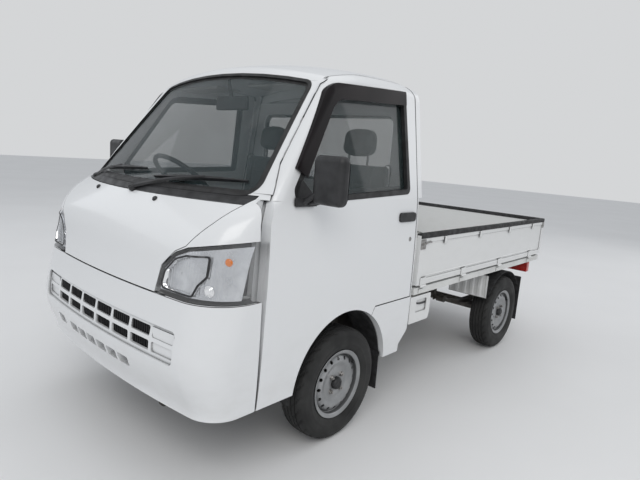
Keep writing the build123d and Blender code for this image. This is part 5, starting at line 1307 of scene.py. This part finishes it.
hood = []
for y, rise in ((-1.330, 0.006), (-1.300, 0.032), (-1.250, 0.050), (-1.203, 0.056), (-1.199, 0.052)):
    loop = []
    for k in range(25):
        a = math.pi * k / 24
        loop.append((-0.355 + 0.150 * math.cos(a) * (1 - 0.15 * math.sin(a)), y, 1.094 + rise * math.sin(a) ** 0.6))
    hood.append(loop)
place(rings("instrument_hood", hood, closed=False), grey_plastic, "chassis", "grey_plastic", 60)
gauges = [disc("gauge", (-0.355 + dx, -1.2060, 1.1180), (0, 1, 0), r, 0.0022, 40, 0.0008)
          for dx, r in ((-0.070, 0.022), (0.0, 0.027), (0.070, 0.022))]
place(joined("gauges", gauges), black_plastic, "chassis", "black_plastic", 40)
parts = []
for x in (-0.565, -0.075, 0.075, 0.565):
    y = dash_y(1.010)
    parts.append(box_mesh("frame", (x - 0.052, y - 0.012, 0.984), (x + 0.052, y + 0.006, 1.036), 0.004, 3))
    for i in range(6):
        z = 0.991 + 0.0078 * i
        parts.append(box_mesh("fin", (x - 0.045, y + 0.004, z), (x + 0.045, y + 0.009, z + 0.0022), 0.0006, 1))
y = dash_y(0.955)
parts.append(box_mesh("radio", (-0.089, y - 0.012, 0.930), (0.089, y + 0.006, 0.976), 0.003, 3))
for dx in (-0.070, 0.070):
    parts.append(disc("knob", (dx, y + 0.004, 0.953), (0, 1, 0), 0.011, 0.012, 28, 0.002))
for i in range(5):
    low_x, high_x = -0.045 + 0.019 * i, -0.031 + 0.019 * i
    parts.append(box_mesh("key", (low_x, y + 0.004, 0.937), (high_x, y + 0.009, 0.944), 0.001, 2))
place(joined("dash_fittings", parts), black_plastic, "chassis", "black_plastic", 40)
y = dash_y(0.985)
parts = [box_mesh("lid", (0.160, y - 0.014, 0.936), (0.490, y + 0.0050, 1.034), 0.006, 3),
         box_mesh("latch", (0.300, y + 0.0040, 1.012), (0.350, y + 0.0095, 1.024), 0.002, 2)]
place(joined("glove_box_lid", parts), grey_plastic, "chassis", "grey_plastic", 40)

# Sun visors, the cabin mirror's pane, and armrests with pulls on the doors
parts = []
for side in (1, -1):
    low, high = sided((0.120, -1.000, 1.628), (0.500, -0.850, 1.643), side)
    parts.append(box_mesh("visor", low, high, 0.006, 3))
    stay = [(side * 0.520, -0.990, 1.650), (side * 0.520, -0.990, 1.636), (side * 0.490, -0.990, 1.636)]
    parts.append(tube("stay", stay, 0.004))
place(joined("sun_visors", parts), liner_felt, "chassis", "grey_plastic", 50)
pane = box_mesh("cabin_mirror_pane", (-0.050, -1.0292, 1.5210), (0.170, -1.0284, 1.5750), 0.0003, 1)
place(pane, mirror_glass, "chassis", "black_plastic")
for side_name, side in SIDES:
    parts = []
    low, high = sided((0.636, -1.020, 0.930), (0.700, -0.660, 0.966), side)
    parts.append(box_mesh("rest", low, high, 0.010, 4))
    low, high = sided((0.655, -1.060, 1.030), (0.700, -0.960, 1.058), side)
    parts.append(box_mesh("pull", low, high, 0.006, 3))
    place(joined(f"door_armrest_{side_name}", parts), grey_plastic, f"door_{side_name}", "black_plastic", 40)

# Floor, light and camera
count, reach = 6, 30.0
grid = [(-reach + 2 * reach * i / count, -reach + 2 * reach * j / count, 0.0)
        for i in range(count + 1) for j in range(count + 1)]
cells = [(i * (count + 1) + j, (i + 1) * (count + 1) + j, (i + 1) * (count + 1) + j + 1, i * (count + 1) + j + 1)
         for i in range(count) for j in range(count)]
ground = mesh_object("studio_floor", grid, cells)
ground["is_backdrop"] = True
mat, tree, bsdf = shader("studio_floor")
tint = noise_of(tree, 0.8, 3.0)
shade = ramp_of(tree, tint.outputs["Fac"], [(0.3, (0.80, 0.80, 0.80)), (0.7, (0.83, 0.83, 0.83))])
link(tree, shade.outputs["Color"], bsdf.inputs["Base Color"])
bsdf.inputs["Roughness"].default_value = 0.85
ground.data.materials.append(mat)

world = bpy.data.worlds.new("studio")
scene.world = world
world.use_nodes = True
tree = world.node_tree
for node in list(tree.nodes):
    tree.nodes.remove(node)
out_node = tree.nodes.new("ShaderNodeOutputWorld")
soft = tree.nodes.new("ShaderNodeBackground")
pale = tree.nodes.new("ShaderNodeBackground")
mix = tree.nodes.new("ShaderNodeMixShader")
rays = tree.nodes.new("ShaderNodeLightPath")
soft.inputs["Color"].default_value = (0.93, 0.96, 1.0, 1)
soft.inputs["Strength"].default_value = 0.60
pale.inputs["Color"].default_value = (0.66, 0.67, 0.68, 1)
pale.inputs["Strength"].default_value = 1.0
link(tree, rays.outputs["Is Camera Ray"], mix.inputs[0])
link(tree, soft.outputs["Background"], mix.inputs[1])
link(tree, pale.outputs["Background"], mix.inputs[2])
link(tree, mix.outputs["Shader"], out_node.inputs["Surface"])


def area(name, location, target, size, power, colour=(1, 1, 1)):
    """A soft rectangular light aimed at a point."""
    data = bpy.data.lights.new(name, "AREA")
    data.shape = "RECTANGLE"
    data.size, data.size_y = size
    data.energy = power
    data.color = colour
    obj = bpy.data.objects.new(name, data)
    obj.location = location
    obj.rotation_euler = (Vector(target) - Vector(location)).to_track_quat("-Z", "Y").to_euler()
    scene.collection.objects.link(obj)
    return obj


area("key", (4.5, -5.0, 5.5), (0, 0, 0.7), (5.0, 4.0), 165.0, (1.0, 0.98, 0.95))
area("fill", (-6.0, -4.5, 4.0), (0, 0, 0.8), (6.0, 4.5), 50.0, (0.94, 0.97, 1.0))
area("top", (0.0, 0.5, 7.0), (0, 0, 0), (7.0, 7.0), 60.0)
area("back", (3.0, 7.0, 4.0), (0, 0, 0.8), (6.0, 4.0), 60.0)

# The camera as fitted to the photograph
CAMERA_LENS = 28.41
SENSOR_WIDTH = 36.0
CAMERA_PLACE = (2.09640, -2.62723, 1.33478)
lens = bpy.data.cameras.new("camera")
lens.lens = CAMERA_LENS
lens.sensor_width = SENSOR_WIDTH
camera = bpy.data.objects.new("camera", lens)
scene.collection.objects.link(camera)
yaw, pitch, roll = 0.7225, -0.1674, 0.0758
forward = Vector((-math.sin(yaw) * math.cos(pitch), math.cos(yaw) * math.cos(pitch), math.sin(pitch)))
level = Vector((math.cos(yaw), math.sin(yaw), 0))
upright = level.cross(forward)
right = level * math.cos(roll) + upright * math.sin(roll)
up = upright * math.cos(roll) - level * math.sin(roll)
turn = Matrix((right, up, -forward)).transposed().to_4x4()
camera.matrix_world = Matrix.Translation(CAMERA_PLACE) @ turn
scene.camera = camera
scene.view_settings.view_transform = "Standard"

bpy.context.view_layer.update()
MANY_TRIANGLES = 50000
total = 0
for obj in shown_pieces():
    tris = sum(len(p.vertices) - 2 for p in obj.data.polygons)
    total += tris
    if tris > MANY_TRIANGLES:
        print("many triangles", obj.name, tris)
print("triangles in all", total)
